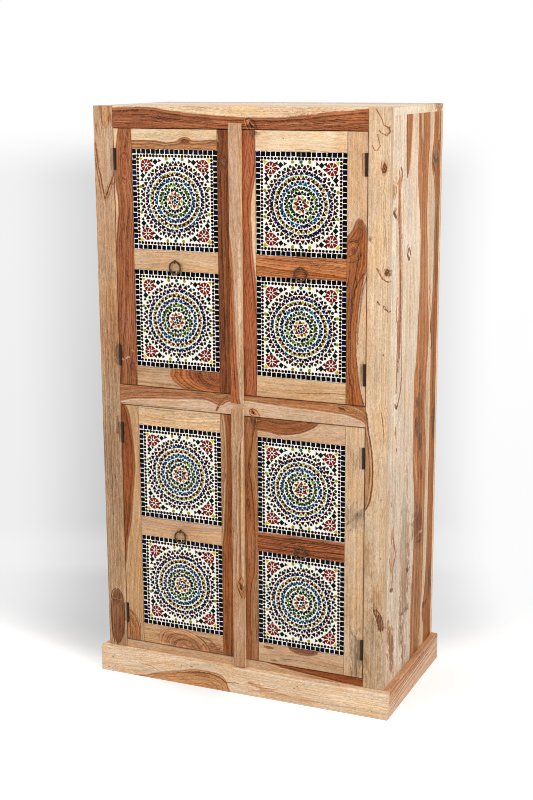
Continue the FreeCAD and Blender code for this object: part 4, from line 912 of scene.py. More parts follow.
# The edge of the heartwood, which wanders over the joint of the right side's last two planks.
HEART_EDGE = ((0, 100), (94, 100), (144, 111), (194, 117), (244, 128), (294, 134), (394, 136), (494, 140),
    (600, 143), (700, 145), (750, 141), (800, 132), (850, 129), (900, 130), (950, 133), (1000, 141),
    (1050, 148), (1080, 151), (1100, 149), (1150, 141), (1200, 131), (1250, 126), (1300, 123), (1350, 118),
    (1400, 111), (1450, 108), (1500, 110), (1550, 111), (1600, 114), (1650, 124), (1700, 123), (1728, 120))
RIGHT_PLANKS = (
    dict(
        figure=1.3, tones=(SAP, SAP), guides=(((0, -170), (900, -160), (1728, -170)),),
        patches=((1490, -149, 56, 13, 6, (200, 136, 86), 0.9),
            (190, -165, 84, 26, -12, (178, 122, 80), 0.95), (250, -196, 44, 12, 0, (184, 130, 90), 0.85),
            (470, -168, 60, 20, 0, (206, 158, 116), 0.7), (1556, -140, 30, 14, 0, (214, 160, 112), 0.8),
            (1526, -204, 30, 12, 0, (206, 146, 98), 0.8), (1466, -186, 18, 12, 0, (206, 148, 100), 0.8),
            (190, -112, 50, 6, 0, SLATE, 0.7), (900, -114, 46, 6, 0, SLATE, 0.7),
            (1250, -196, 110, 8, 0, SLATE, 0.6), (640, -150, 90, 18, 0, SLATE, 0.5),
            (330, -214, 130, 4, 0, (246, 234, 220), 0.8), (200, -124, 120, 5, 0, (246, 234, 220), 0.7),
            (1120, -206, 160, 5, 0, (248, 230, 204), 0.7), (700, -128, 160, 4, 0, (246, 228, 202), 0.7),
            (560, -206, 120, 6, 0, (216, 176, 136), 0.7), (1650, -170, 70, 8, 0, (248, 230, 206), 0.6),
            (820, -176, 130, 5, 0, (214, 172, 130), 0.6), (1240, -160, 140, 6, 0, (220, 182, 142), 0.6),
            (430, -130, 120, 14, 0, SLATE, 0.5), (850, -200, 200, 10, 0, SLATE, 0.4)),
        strokes=((((1545, -152), (1500, -147), (1460, -143), (1420, -139), (1380, -136), (1330, -134),
             (1280, -133), (1200, -132), (1150, -130), (1100, -129), (1060, -131)), 4.6, (196, 128, 82),
             0.85), (((1420, -144), (1380, -140), (1330, -138)), 1.2, BARK, 0.5),
            (((1300, -129), (1200, -127), (1100, -125)), 1.6, (156, 88, 54), 0.8),
            (((1400, -121), (1300, -117), (1200, -114), (1100, -110), (1000, -106)), 1.6, (180, 118, 80),
             0.7), (((1585, -139), (1577, -131), (1564, -127), (1553, -131)), 1.8, BARK, 0.85),
            (((1577, -155), (1562, -149), (1552, -158), (1545, -168)), 1.6, SIENNA, 0.85),
            (((1560, -146), (1548, -141), (1538, -150)), 1.4, SIENNA, 0.8),
            (((1532, -216), (1512, -212), (1497, -209)), 2.0, SIENNA, 0.85),
            (((1530, -200), (1519, -194), (1510, -204)), 1.4, SIENNA, 0.8),
            (((1536, -180), (1525, -174), (1515, -186), (1505, -194)), 1.4, SIENNA, 0.8),
            (((1469, -197), (1462, -186), (1455, -177)), 2.4, BARK, 0.95),
            (((1470, -187), (1476, -175)), 1.6, SIENNA, 0.8),
            (((1226, -154), (1205, -158), (1190, -163), (1172, -157), (1164, -163)), 1.9, SIENNA, 0.85),
            (((1160, -150), (1100, -148), (1050, -150), (1000, -152), (958, -153)), 1.8, (172, 108, 72),
             0.8), (((1160, -138), (1080, -137), (1018, -139)), 2.4, (184, 116, 76), 0.85),
            (((990, -107), (960, -112), (940, -122), (924, -133), (914, -145)), 2.2, (180, 114, 74), 0.85),
            (((923, -161), (912, -150), (916, -140)), 2.2, BARK, 0.85),
            (((854, -154), (840, -159), (827, -154), (838, -149), (854, -154)), 1.8, SIENNA, 0.85),
            (((789, -141), (785, -139)), 2.0, BARK, 0.7), (((643, -184), (631, -178)), 1.7, SIENNA, 0.8),
            (((556, -160), (536, -166), (521, -172)), 3.2, SIENNA, 0.8),
            (((538, -160), (515, -154), (499, -146)), 1.7, BARK, 0.7),
            (((500, -152), (489, -141), (474, -132), (462, -134), (449, -149), (439, -156), (424, -161),
             (404, -159), (380, -164)), 2.4, SIENNA, 0.85),
            (((474, -190), (459, -184), (439, -179), (426, -168)), 1.9, SIENNA, 0.75),
            (((374, -178), (369, -160)), 2.4, BARK, 0.85),
            (((260, -182), (249, -172), (257, -164), (246, -156)), 2.3, SIENNA, 0.85),
            (((244, -186), (234, -178)), 2.0, SIENNA, 0.8), (((186, -200), (168, -192)), 2.0, SIENNA, 0.85)),
        shade=((0, 0.86), (300, 0.85), (700, 0.89), (1000, 0.95), (1300, 1.01), (1728, 1.02))),
    dict(
        tones=(SAP, (192, 124, 72), SAP), bends=((1338, -54, 14, 13, 0), (382, -18, 9, 12, 0)),
        guides=(((0, -70), (1540, -70), (1558, -82), (1600, -88), (1650, -92), (1728, -97)),
            ((0, -96), (1540, -96), (1558, -82), (1570, -72), (1600, -60), (1640, -53), (1728, -43))),
        patches=((400, -50, 250, 48, 0, (188, 148, 110), 0.65), (330, -36, 150, 30, 0, (180, 138, 98), 0.5),
            (130, -46, 74, 18, -4, (176, 122, 80), 0.85), (230, -84, 80, 10, 0, (184, 144, 110), 0.6),
            (1180, -40, 170, 7, 0, (216, 176, 134), 0.6), (900, -74, 150, 6, 0, (218, 178, 138), 0.6),
            (1440, -20, 130, 5, 0, (248, 230, 206), 0.7), (760, -22, 160, 5, 0, (248, 232, 210), 0.7),
            (140, -40, 110, 6, 0, (240, 224, 206), 0.7), (1500, -60, 60, 16, 0, SLATE, 0.4),
            (560, -60, 140, 18, 0, SLATE, 0.4)),
        strokes=((((1728, -93), (1650, -89), (1600, -86), (1560, -82)), 2.6, (156, 86, 50), 0.85),
            (((1728, -44), (1650, -51), (1600, -60), (1575, -72)), 2.0, SIENNA, 0.8),
            (((1352, -63), (1338, -67), (1327, -59), (1326, -50)), 2.4, BARK, 0.95),
            (((1354, -53), (1346, -45), (1338, -40)), 2.0, BARK, 0.85),
            (((1366, -60), (1360, -76), (1345, -84)), 1.3, SIENNA, 0.5),
            (((1360, -32), (1346, -28)), 1.3, SIENNA, 0.6),
            (((387, -24), (382, -18), (380, -12)), 2.6, (74, 48, 34), 0.9),
            (((394, -20), (382, -18), (373, -23)), 1.4, BARK, 0.7),
            (((381, -10), (385, 4)), 1.5, SIENNA, 0.8),
            (((262, -74), (258, -50), (264, -30), (257, -12)), 1.7, (150, 108, 80), 0.8),
            (((269, -62), (271, -36)), 1.3, (150, 108, 80), 0.6),
            (((226, -84), (216, -70), (206, -75)), 1.7, (170, 122, 88), 0.7)),
        shade=((0, 0.86), (300, 0.84), (700, 0.89), (1000, 0.95), (1300, 1.01), (1728, 1.02))),
    dict(
        tones=(SAP, HEART, (221, 178, 140), HEART, (229, 199, 168)),
        guides=(((0, 20), (94, 20), (194, 21), (294, 27), (394, 35), (494, 40), (550, 40), (600, 36),
             (650, 27), (700, 18), (750, 13), (800, 11), (850, 11), (900, 13), (950, 14), (982, 17),
             (1000, 26), (1050, 32), (1100, 38), (1150, 45), (1200, 50), (1250, 52), (1350, 52), (1400, 48),
             (1450, 38), (1500, 25), (1550, 18), (1600, 15), (1650, 18), (1728, 15)),
            ((0, 56), (1622, 56), (1670, 45), (1728, 35)),
            ((0, 57), (1622, 57), (1640, 60), (1680, 63), (1728, 60)), HEART_EDGE),
        patches=((484, 88, 66, 60, 0, (126, 74, 36), 0.85), (840, 75, 110, 36, 0, (142, 84, 42), 0.7),
            (1250, 84, 130, 22, 0, (190, 140, 98), 0.6), (230, 75, 190, 60, 0, (184, 126, 76), 0.8)),
        strokes=((((893, 46), (880, 53)), 4.0, (74, 46, 30), 0.7),
            (((832, 43), (812, 46), (792, 51)), 5.0, (70, 44, 30), 0.7),
            (((774, 84), (738, 88)), 4.4, (78, 50, 34), 0.65), (((668, 100), (640, 104)), 3.4, BARK, 0.5),
            (((728, 28), (700, 38), (670, 47), (646, 60)), 2.4, (222, 160, 104), 0.85),
            (((1728, 26), (1680, 31), (1640, 40), (1600, 50), (1566, 58)), 2.0, (120, 70, 42), 0.7),
            (((470, 92), (466, 106), (464, 130)), 1.8, (210, 164, 114), 0.85),
            (((444, 70), (440, 90), (436, 120)), 1.4, (86, 52, 32), 0.6),
            (((1000, 28), (965, 22), (930, 20)), 2.0, (206, 140, 84), 0.6)),
        shade=((0, 0.86), (500, 0.87), (1000, 0.98), (1300, 1.03), (1728, 1.06))),
    dict(
        tones=(HEART, (229, 197, 162), (176, 107, 50)), shade=((0, 0.92), (1000, 1.0), (1728, 1.04)),
        guides=(HEART_EDGE,
            ((0, 157), (94, 157), (144, 153), (174, 143), (194, 140), (214, 143), (244, 155), (294, 166),
             (344, 172), (394, 176), (494, 176), (700, 179), (1000, 177), (1070, 173), (1090, 164),
             (1110, 165), (1130, 173), (1170, 179), (1200, 183), (1350, 187), (1400, 188), (1450, 187),
             (1500, 181), (1550, 164), (1570, 152), (1600, 150), (1620, 152), (1650, 164), (1700, 166),
             (1728, 166))),
        patches=((1596, 195, 30, 30, 0, (150, 110, 84), 0.7), (790, 216, 56, 16, 0, (84, 56, 42), 0.75),
            (280, 212, 50, 14, 0, (84, 60, 48), 0.7), (1420, 168, 110, 9, 0, (206, 196, 184), 0.8),
            (1510, 146, 70, 7, 0, (224, 176, 124), 0.7), (830, 150, 90, 12, 0, (210, 174, 134), 0.6)),
        strokes=((((1728, 212), (1690, 214), (1650, 211)), 2.6, (210, 162, 118), 0.8),
            (((1603, 158), (1592, 172), (1583, 188), (1591, 202)), 2.4, (104, 70, 52), 0.85),
            (((1581, 155), (1571, 165), (1558, 173)), 2.0, BARK, 0.8),
            (((217, 150), (211, 165), (217, 180)), 2.4, BARK, 0.85),
            (((206, 146), (203, 162)), 1.6, BARK, 0.7),
            (((1160, 200), (1000, 205), (850, 201)), 2.2, (104, 62, 38), 0.65),
            (((1450, 210), (1300, 206), (1180, 213)), 2.2, (108, 66, 42), 0.65),
            (((700, 192), (600, 195), (500, 191)), 2.2, (186, 124, 76), 0.6),
            (((1220, 150), (1195, 158), (1180, 150), (1150, 163)), 1.8, SIENNA, 0.75),
            (((1030, 176), (1034, 182)), 2.6, BARK, 0.7))),
)
LEFT_PLANKS = (
    dict(
        tones=("cream", "orange", "cream"),
        guides=(((0, -190), (700, -180), (1300, -196), (1728, -186)),
            ((0, -150), (700, -158), (1300, -130), (1728, -140)))),
    dict(
        tones=("cream", "pale"), guides=(((0, -40), (900, -60), (1728, -30)),),
        knots=((980, -34, 13, 9, 0),)),
    dict(
        tones=("red", "cream"), guides=(((0, 60), (600, 82), (1200, 70), (1728, 96)),)),
    dict(
        tones=("cream", "honey", "straw"),
        guides=(((0, 150), (900, 166), (1728, 158)), ((0, 196), (900, 204), (1728, 190)))),
)
# Strokes on the side walls are drawn this much wider than their numbers say.
STROKE_WIDENING = 2.1


def side_wall(node, side, planks):
    """A side wall as its planks, from the front to the back. side is 1 on the right, -1 on the left."""
    low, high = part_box(node)
    pitch = (high.y - low.y) / len(planks)
    shape = bmesh.new()
    woods = []
    for number, spec in enumerate(planks):
        start = low.y + number * pitch
        box_shape(shape, (low.x, start, low.z), (high.x, start + pitch, high.z), number)
        strokes = [(points, STROKE_WIDENING * width, tone, amount)
                   for points, width, tone, amount in spec.get("strokes", ())]
        woods.append(wood(f"{node}_plank_{number + 1}", axes=("z", "y", "x"), slope=0.0, gloss=0.08,
                          seed=40 + number + 5 * side, **{**spec, "strokes": strokes}))
    bmesh.ops.recalc_face_normals(shape, faces=shape.faces)
    ease(shape, PLANK_EASE)
    mesh = mesh_from(node + "_planks", shape, *woods)
    put(node + "_planks", mesh, nodes[node]["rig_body"], "pale_hardwood", node)


side_wall("right_side_panel", 1, RIGHT_PLANKS)
side_wall("left_side_panel", -1, LEFT_PLANKS)


# Boards inside, and the metal


def paint(node, look):
    """Gives a node of the frame a material."""
    node.data.materials.clear()
    node.data.materials.append(look)


inner = wood("inner_board_wood", axes=("x", "y", "z"), seed=60, tones=("straw", "cream", "straw"),
             guides=(((-440, -80), (0, -40), (440, -90)), ((-440, 90), (0, 130), (440, 80))))
for name in ("bottom_panel", "middle_deck", "upper_shelf", "lower_shelf"):
    eased_board(name, inner)
batten = wood("inner_batten_wood", axes=("y", "x", "z"), seed=61, tones=("straw",))
for name in ("shelf_cleats", "door_stops"):
    paint(nodes[name], batten)


def metal(name, base, worn, roughness, share):
    """Dark metal with worn patches, which cover more where share is lower."""
    made, graph, shader = material(name)
    spot = graph.place()
    patch = graph.noise(vector=spot, scale=240, detail=5, roughness=0.65)
    fine = graph.noise(vector=spot, scale=1400, detail=3, roughness=0.6)
    wear = graph.step(patch, share, share + 0.16)
    smooth = graph.math("MULTIPLY_ADD", wear, -0.12, roughness)
    graph.feed_all(shader.inputs, Base_Color=graph.mix(wear, srgb(*base), srgb(*worn)),
                   Metallic=graph.step(patch, share - 0.1, share + 0.2, 0.55, 1.0),
                   Roughness=graph.math("MULTIPLY_ADD", fine, 0.35, smooth))
    bump(graph, shader, graph.math("ADD", patch, fine), 0.0002, 0.6)
    return made


iron = metal("worn_iron", (54, 36, 26), (104, 78, 60), 0.46, 0.6)
brass = metal("aged_brass", (72, 50, 34), (188, 148, 102), 0.3, 0.53)
nail = metal("nail_iron", (60, 40, 30), (120, 100, 84), 0.5, 0.6)
METALS = {"hinge_leaves": iron, "hinge_pins": iron, "hinge_screws": iron, "pull_": brass,
          "plinth_nails": nail}
for name, node in nodes.items():
    for part, look in METALS.items():
        if part in name:
            paint(node, look)


# Mosaic slabs

GLAZES = {
    "black": (4, 3, 2), "navy_black": (8, 8, 46), "navy": (10, 22, 64), "blue": (4, 72, 110),
    "sky": (0, 94, 140), "teal": (8, 44, 64), "bottle": (5, 22, 6), "dark_green": (4, 32, 12),
    "green": (4, 60, 26), "bright_green": (0, 116, 52), "olive": (50, 80, 8), "lime": (100, 144, 14),
    "lemon": (196, 188, 4), "yellow": (158, 148, 3), "brick": (122, 26, 12), "red": (146, 26, 9),
    "maroon": (58, 13, 11), "maroon_dot": (46, 8, 9), "wine": (60, 10, 9),
}
# Sizes in mm. Places are from a slab's middle, and those of a corner are for all four corners.
GROUT_THICKNESS = 3.0
GROOVE_DEPTH = 4.0
BORDER_INSET = 7.2
BORDER_SIDE = 12.1
BORDER_COLUMNS, BORDER_ROWS = 18, 19
NAVY_SHARE = 0.14
DOT_FRAME_X, DOT_FRAME_Z = 118.0, 125.5
DOT_COLUMNS, DOT_ROWS = 24, 26
DOT_SPAN_X, DOT_SPAN_Z = 236, 251
FRAME_DOTS = ("maroon_dot", "maroon_dot", "black")
FRAME_DOT = 4.3
ROSETTE = (91.0, 99.0)
ROSETTE_REACH = 22.0
PETALS = 8
PETAL_OUTLINE = ((5.2, -0.8), (17.0, -6.3), (17.8, 0.0), (17.0, 6.3), (5.2, 0.8))
CORNER_SQUARES = ((61.0, 108.5), (102.5, 69.0))
CORNER_SQUARE_REACH = 10.6
CORNER_SQUARE_SIDE = 11.6
INNER_X, INNER_Z = 112.5, 119.5
# Each ring: its chips' shape, radius, count, colours, shift by a share of one chip, and size.
RINGS = (
    ("dot", 9.2, 6, ("dark_green", "black"), 0.0, 3.7),
    ("dot", 12.6, 6, ("black",), 0.5, 2.2),
    ("triangle", 17.6, 6, ("red",), 0.0, 7.4),
    ("dot", 20.8, 6, ("yellow",), 0.5, 3.8),
    ("triangle", 30.4, 12, ("dark_green", "green", "black"), 0.0, 7.8),
    ("dot", 34.6, 12, ("black", "maroon_dot"), 0.5, 4.15),
    ("triangle", 43.8, 18, ("olive", "olive", "green", "lime"), 0.0, 8.0),
    ("dot", 48.1, 18, ("maroon_dot", "black"), 0.5, 4.15),
    ("triangle", 58.4, 24, ("blue", "sky", "navy", "blue"), 0.0, 8.0),
    ("dot", 62.8, 24, ("maroon_dot", "black"), 0.5, 4.15),
    ("triangle", 73.0, 31, ("maroon",), 0.0, 7.8),
    ("dot", 77.3, 31, ("yellow", "yellow", "yellow", "olive"), 0.5, 4.0),
    ("triangle", 87.6, 36, ("navy", "navy", "blue", "maroon"), 0.0, 8.0),
    ("dot", 92.0, 36, ("maroon_dot",), 0.5, 4.15),
    ("triangle", 102.0, 38, ("wine", "maroon"), 0.0, 8.3),
    ("dot", 108.4, 38, ("green", "dark_green"), 0.5, 4.2),
)
# A chip's foot in the grout, its shoulder below the top, the shoulder's width, and its crown.
CHIP_FOOT, SHOULDER, SHOULDER_WIDTH, CROWN = -0.4, 0.3, 0.45, 0.12


def make_glaze():
    made, graph, shader = material("glazed_chips")
    chip = graph.add("ShaderNodeAttribute", attribute_name="glaze").outputs["Color"]
    spot = graph.place()
    cloud = graph.noise(vector=spot, scale=260, detail=3)
    fine = graph.noise(vector=spot, scale=900, detail=2)
    level = graph.step(cloud, 0.3, 0.75, 0.82, 1.22)
    colour = graph.mix(1.0, chip, graph.vector(level, level, level), "MULTIPLY")
    graph.feed_all(shader.inputs, Base_Color=colour, Specular_IOR_Level=0.05,
                   Roughness=graph.step(fine, 0.3, 0.7, 0.14, 0.3))
    bump(graph, shader, cloud, 0.0008, 0.35)
    return made


def make_grout():
    made, graph, shader = material("white_grout")
    spot = graph.place()
    grain = graph.noise(vector=spot, scale=700, detail=4, roughness=0.7)
    smudge = graph.noise(vector=spot, scale=34, detail=3)
    colour = graph.mix(graph.step(smudge, 0.45, 0.8), srgb(249, 245, 237), srgb(236, 229, 216))
    colour = graph.mix(graph.step(grain, 0.6, 0.85, 0.0, 0.2), colour, srgb(210, 205, 196))
    graph.feed_all(shader.inputs, Base_Color=colour, Specular_IOR_Level=0.3,
                   Roughness=graph.step(grain, 0.3, 0.7, 0.62, 0.85))
    bump(graph, shader, grain, 0.0004, 0.5)
    return made


glaze = make_glaze()
grout = make_grout()
backing = wood("backing_board_wood", axes=UPRIGHT, face=-205.0, seed=70, figure=0.8,
               tones=("tan", "straw"), guides=(((0, -20), (900, 40), (1750, -30)),))


class Chips:
    """Collects the chips of one slab. Places are mm from the slab's centre, seen from the front."""

    def __init__(self, seed):
        self.random = random.Random(seed)
        self.outlines = []

    def near(self, spread):
        return self.random.uniform(-spread, spread)

    def add(self, x, z, colour, sides, size, turn, jitter):
        """A chip with that many sides; size is the distance from its middle to its corners."""
        turn += self.near(0.12)
        size *= 1.03 + self.near(0.06)
        x += self.near(0.3)
        z += self.near(0.3)
        outline = []
        for number in range(sides):
            angle = turn + math.tau * number / sides
            reach = size * (1 + self.near(jitter))
            outline.append((x + reach * math.sin(angle), z + reach * math.cos(angle)))
        self.outlines.append((outline, colour))

    def triangle(self, x, z, colour, size, turn):
        """A three-sided chip whose turn says where its point goes, clockwise from the top."""
        self.add(x, z, colour, 3, size, turn, 0.1)

    def dot(self, x, z, colour, size):
        self.add(x, z, colour, 7, size, self.near(1), 0.07)

    def square(self, x, z, colour, side, turn):
        self.add(x, z, colour, 4, side / math.sqrt(2), turn + math.pi / 4, 0.03)

    def petal(self, x, z, angle, colour):
        """A rosette's wedge: narrow towards its middle, wide and slightly round outside."""
        outline = []
        for radius, sway in PETAL_OUTLINE:
            radius += self.near(0.3)
            outline.append((x + radius * math.sin(angle) + sway * math.cos(angle),
                            z + radius * math.cos(angle) - sway * math.sin(angle)))
        self.outlines.append((outline, colour))

    def border_square(self, x, z):
        colour = "navy_black" if self.random.random() < NAVY_SHARE else "black"
        self.square(x, z, colour, BORDER_SIDE, self.near(0.04))

    def border(self, width, height):
        """Dark squares all round the slab, and a frame of dots inside them."""
        reach_x, reach_z = width / 2 - BORDER_INSET, height / 2 - BORDER_INSET
        for x in spread(BORDER_COLUMNS, 2 * reach_x):
            for side in (-1, 1):
                self.border_square(x, side * reach_z)
        for z in spread(BORDER_ROWS, 2 * reach_z)[1:-1]:
            for side in (-1, 1):
                self.border_square(side * reach_x, z)
        choose = self.random.choice
        for x in spread(DOT_COLUMNS, DOT_SPAN_X):
            for side in (-1, 1):
                self.dot(x, side * DOT_FRAME_Z, choose(FRAME_DOTS), FRAME_DOT)
        for z in spread(DOT_ROWS, DOT_SPAN_Z)[1:-1]:
            for side in (-1, 1):
                self.dot(side * DOT_FRAME_X, z, choose(FRAME_DOTS), FRAME_DOT)

    def rings(self):
        """Rings of triangles, and dots that sit between their points."""
        lean = self.near(0.5)
        for shape, radius, count, colours, shift, size in RINGS:
            if shift == 0.0 and radius > 20:
                lean = self.near(0.5)
            for number in range(count):
                angle = math.tau * (number + shift) / count + lean
                reach = radius + self.near(1.1)
                x, z = reach * math.sin(angle), reach * math.cos(angle)
                if radius > 95 and not clear_of_corners(x, z):
                    continue
                colour = colours[0] if self.random.random() < 0.5 else self.random.choice(colours)
                if shape == "dot":
                    self.dot(x, z, colour, size)
                else:
                    self.triangle(x, z, colour, size, angle)

    def corner(self, across, up):
        """A rosette with the chips round it, in the corner that the two signs name."""
        cx, cz = across * ROSETTE[0], up * ROSETTE[1]
        spin = self.near(0.12)
        for petal in range(PETALS):
            self.petal(cx, cz, spin + math.tau * petal / PETALS, "brick")
        self.dot(cx, cz, "teal", 3.4)
        outward = math.atan2(across, up)
        self.triangle(across * 108.5, up * 116, "lemon", 7.4, outward)
        for x, z in CORNER_SQUARES:
            self.square(across * x, up * z, "bottle", CORNER_SQUARE_SIDE, math.pi / 4)
        for offset in (-12.5, 12.5):
            turn = math.pi * (offset > 0)
            self.triangle(across * (61 + offset), up * 112, "wine", 6.4, turn + 1.6)
            self.triangle(across * 105, up * (69 + offset), "wine", 6.4, turn)
        self.triangle(across * 70, up * 97, "wine", 5.8, outward)
        self.triangle(across * 92, up * 77, "wine", 5.8, outward)
        self.dot(across * 25.5, up * 117, "yellow", 4.7)
        self.dot(across * 109, up * 37, "yellow", 4.7)


def spread(count, span):
    """That many places, spread evenly over a span with its middle at 0."""
    return [(number - (count - 1) / 2) * span / (count - 1) for number in range(count)]


def clear_of_corners(x, z):
    """Whether a ring's chip clears the border, the rosette and the squares of its corner."""
    if abs(x) > INNER_X or abs(z) > INNER_Z:
        return False
    if math.hypot(abs(x) - ROSETTE[0], abs(z) - ROSETTE[1]) < ROSETTE_REACH:
        return False
    return all(math.hypot(abs(x) - cx, abs(z) - cz) >= CORNER_SQUARE_REACH for cx, cz in CORNER_SQUARES)


def slab_pattern(width, height, seed):
    chips = Chips(seed)
    chips.border(width, height)
    chips.dot(0, 0, "dark_green", 4.0)
    chips.rings()
    for across in (-1, 1):
        for up in (-1, 1):
            chips.corner(across, up)
    for up in (-1, 1):
        chips.dot(0, up * 117, "bright_green" if chips.random.random() < 0.4 else "green", 4.7)
    return chips


class ChipMesh:
    """The corners, faces and colours of all chips of one door."""

    def __init__(self):
        self.verts, self.faces, self.colours = [], [], []

    def add(self, outline, colour, plane, centre, rng):
        """A chip with a shoulder and a slightly crowned, slightly tipped top."""
        cx = sum(x for x, _ in outline) / len(outline)
        cz = sum(z for _, z in outline) / len(outline)
        tip_x, tip_z = rng.uniform(-0.02, 0.02), rng.uniform(-0.02, 0.02)
        rise = rng.uniform(0.55, 0.8)
        first = len(self.verts)
        count = len(outline)
        for height, inset in ((CHIP_FOOT, 0.0), (rise - SHOULDER, 0.0), (rise, SHOULDER_WIDTH)):
            for x, z in outline:
                share = 1 - min(0.6, inset / math.hypot(x - cx, z - cz))
                px, pz = (x - cx) * share, (z - cz) * share
                lift = height + (px * tip_x + pz * tip_z if height > 0 else 0)
                self.place(cx + px, cz + pz, lift, plane, centre)
        self.place(cx, cz, rise + CROWN, plane, centre)
        for number in range(count):
            following = (number + 1) % count
            for low in (first, first + count):
                self.faces.append((low + number, low + following, low + count + following,
                                   low + count + number))
            top = first + 2 * count
            self.faces.append((top + number, top + following, top + count))
        drift = rng.uniform(0.82, 1.18)
        made = [part * drift for part in srgb(*GLAZES[colour])[:3]]
        self.colours.extend([(*made, 1.0)] * (3 * count + 1))

    def place(self, x, z, lift, plane, centre):
        """A corner in mm from the slab's centre and its front plane, kept in metres."""
        self.verts.append((centre[0] + x * MM, plane - lift * MM, centre[1] + z * MM))

    def mesh(self, name):
        mesh = bpy.data.meshes.new(name)
        mesh.from_pydata(self.verts, [], self.faces)
        layer = mesh.attributes.new("glaze", "FLOAT_COLOR", "POINT")
        layer.data.foreach_set("color", [part for colour in self.colours for part in colour])
        mesh.materials.append(glaze)
        return mesh


def mosaic(door, number):
    """Both slabs of one door: grouted plates on thin boards, and the chips set in them."""
    low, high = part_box(door + "_mosaics")
    stiles = sorted((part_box(f"{door}_{stile}_stile") for stile in ("hinge", "meeting")),
                    key=lambda box: box[0].x)
    left, right = stiles[0][1].x, stiles[1][0].x
    rails = [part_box(f"{door}_{rail}_rail") for rail in ("bottom", "middle", "top")]
    plates = bmesh.new()
    chip_mesh = ChipMesh()
    for index in (0, 1):
        bottom, top = rails[index][1].z, rails[index + 1][0].z
        depths = (low.y, low.y + GROUT_THICKNESS * MM, high.y)
        sunk = GROOVE_DEPTH * MM
        for layer in (0, 1):
            box_shape(plates, (left - sunk, depths[layer], bottom - sunk),
                      (right + sunk, depths[layer + 1], top + sunk), layer)
        chips = slab_pattern((right - left) / MM, (top - bottom) / MM, 10 * number + index)
        centre = ((left + right) / 2, (bottom + top) / 2)
        for outline, colour in chips.outlines:
            chip_mesh.add(outline, colour, low.y, centre, chips.random)
    bmesh.ops.recalc_face_normals(plates, faces=plates.faces)
    mesh = mesh_from(door + "_grout", plates, grout, backing)
    put(door + "_grout", mesh, door, "mosaic", door + "_mosaics")
    put(door + "_chips", chip_mesh.mesh(door + "_chips"), door, "mosaic")


DOORS = [f"{level}_{side}_door" for level in ("upper", "lower") for side in ("left", "right")]
for number, door in enumerate(DOORS):
    mosaic(door, number)


# Room, lamps and camera

YAW, PITCH, ROLL = math.radians(-23.542), math.radians(-13.157), math.radians(-0.310)
EYE = Vector((1.6840, -3.8906, 1.8546))
AHEAD = Vector((math.sin(YAW), math.cos(YAW), 0.0))
SIDEWAYS = Vector((AHEAD.y, -AHEAD.x, 0.0))
FOCAL_PIXELS, PHOTO_HEIGHT, SENSOR = 1422.2, 800, 36
# The paper: how far behind the camera's foot it stands up, its sweep, half width, height and length.
WALL_DISTANCE, SWEEP_RADIUS, HALF_WIDTH, TALL, LONG = 5.3, 0.5, 9.0, 5.0, 14.0
SWEEP_STEPS = 16
FLOOR_REACH, FLOOR_DEPTH, FLOOR_CORNERS = 16.0, -0.003, 64
STAGE_GLOW = 0.4


def plain_stage(graph, shader, colour):
    """A matt white that glows a little where it is seen, but lights nothing. Returns where it is seen."""
    path = graph.add("ShaderNodeLightPath").outputs
    mirrored = graph.math("MAXIMUM", path["Is Glossy Ray"], path["Is Transmission Ray"])
    seen = graph.math("MAXIMUM", path["Is Camera Ray"], mirrored)
    graph.feed_all(shader.inputs, Base_Color=colour, Roughness=0.9, Specular_IOR_Level=0.1,
                   Emission_Color=(1, 1, 1, 1),
                   Emission_Strength=graph.math("MULTIPLY", seen, STAGE_GLOW))
    return seen


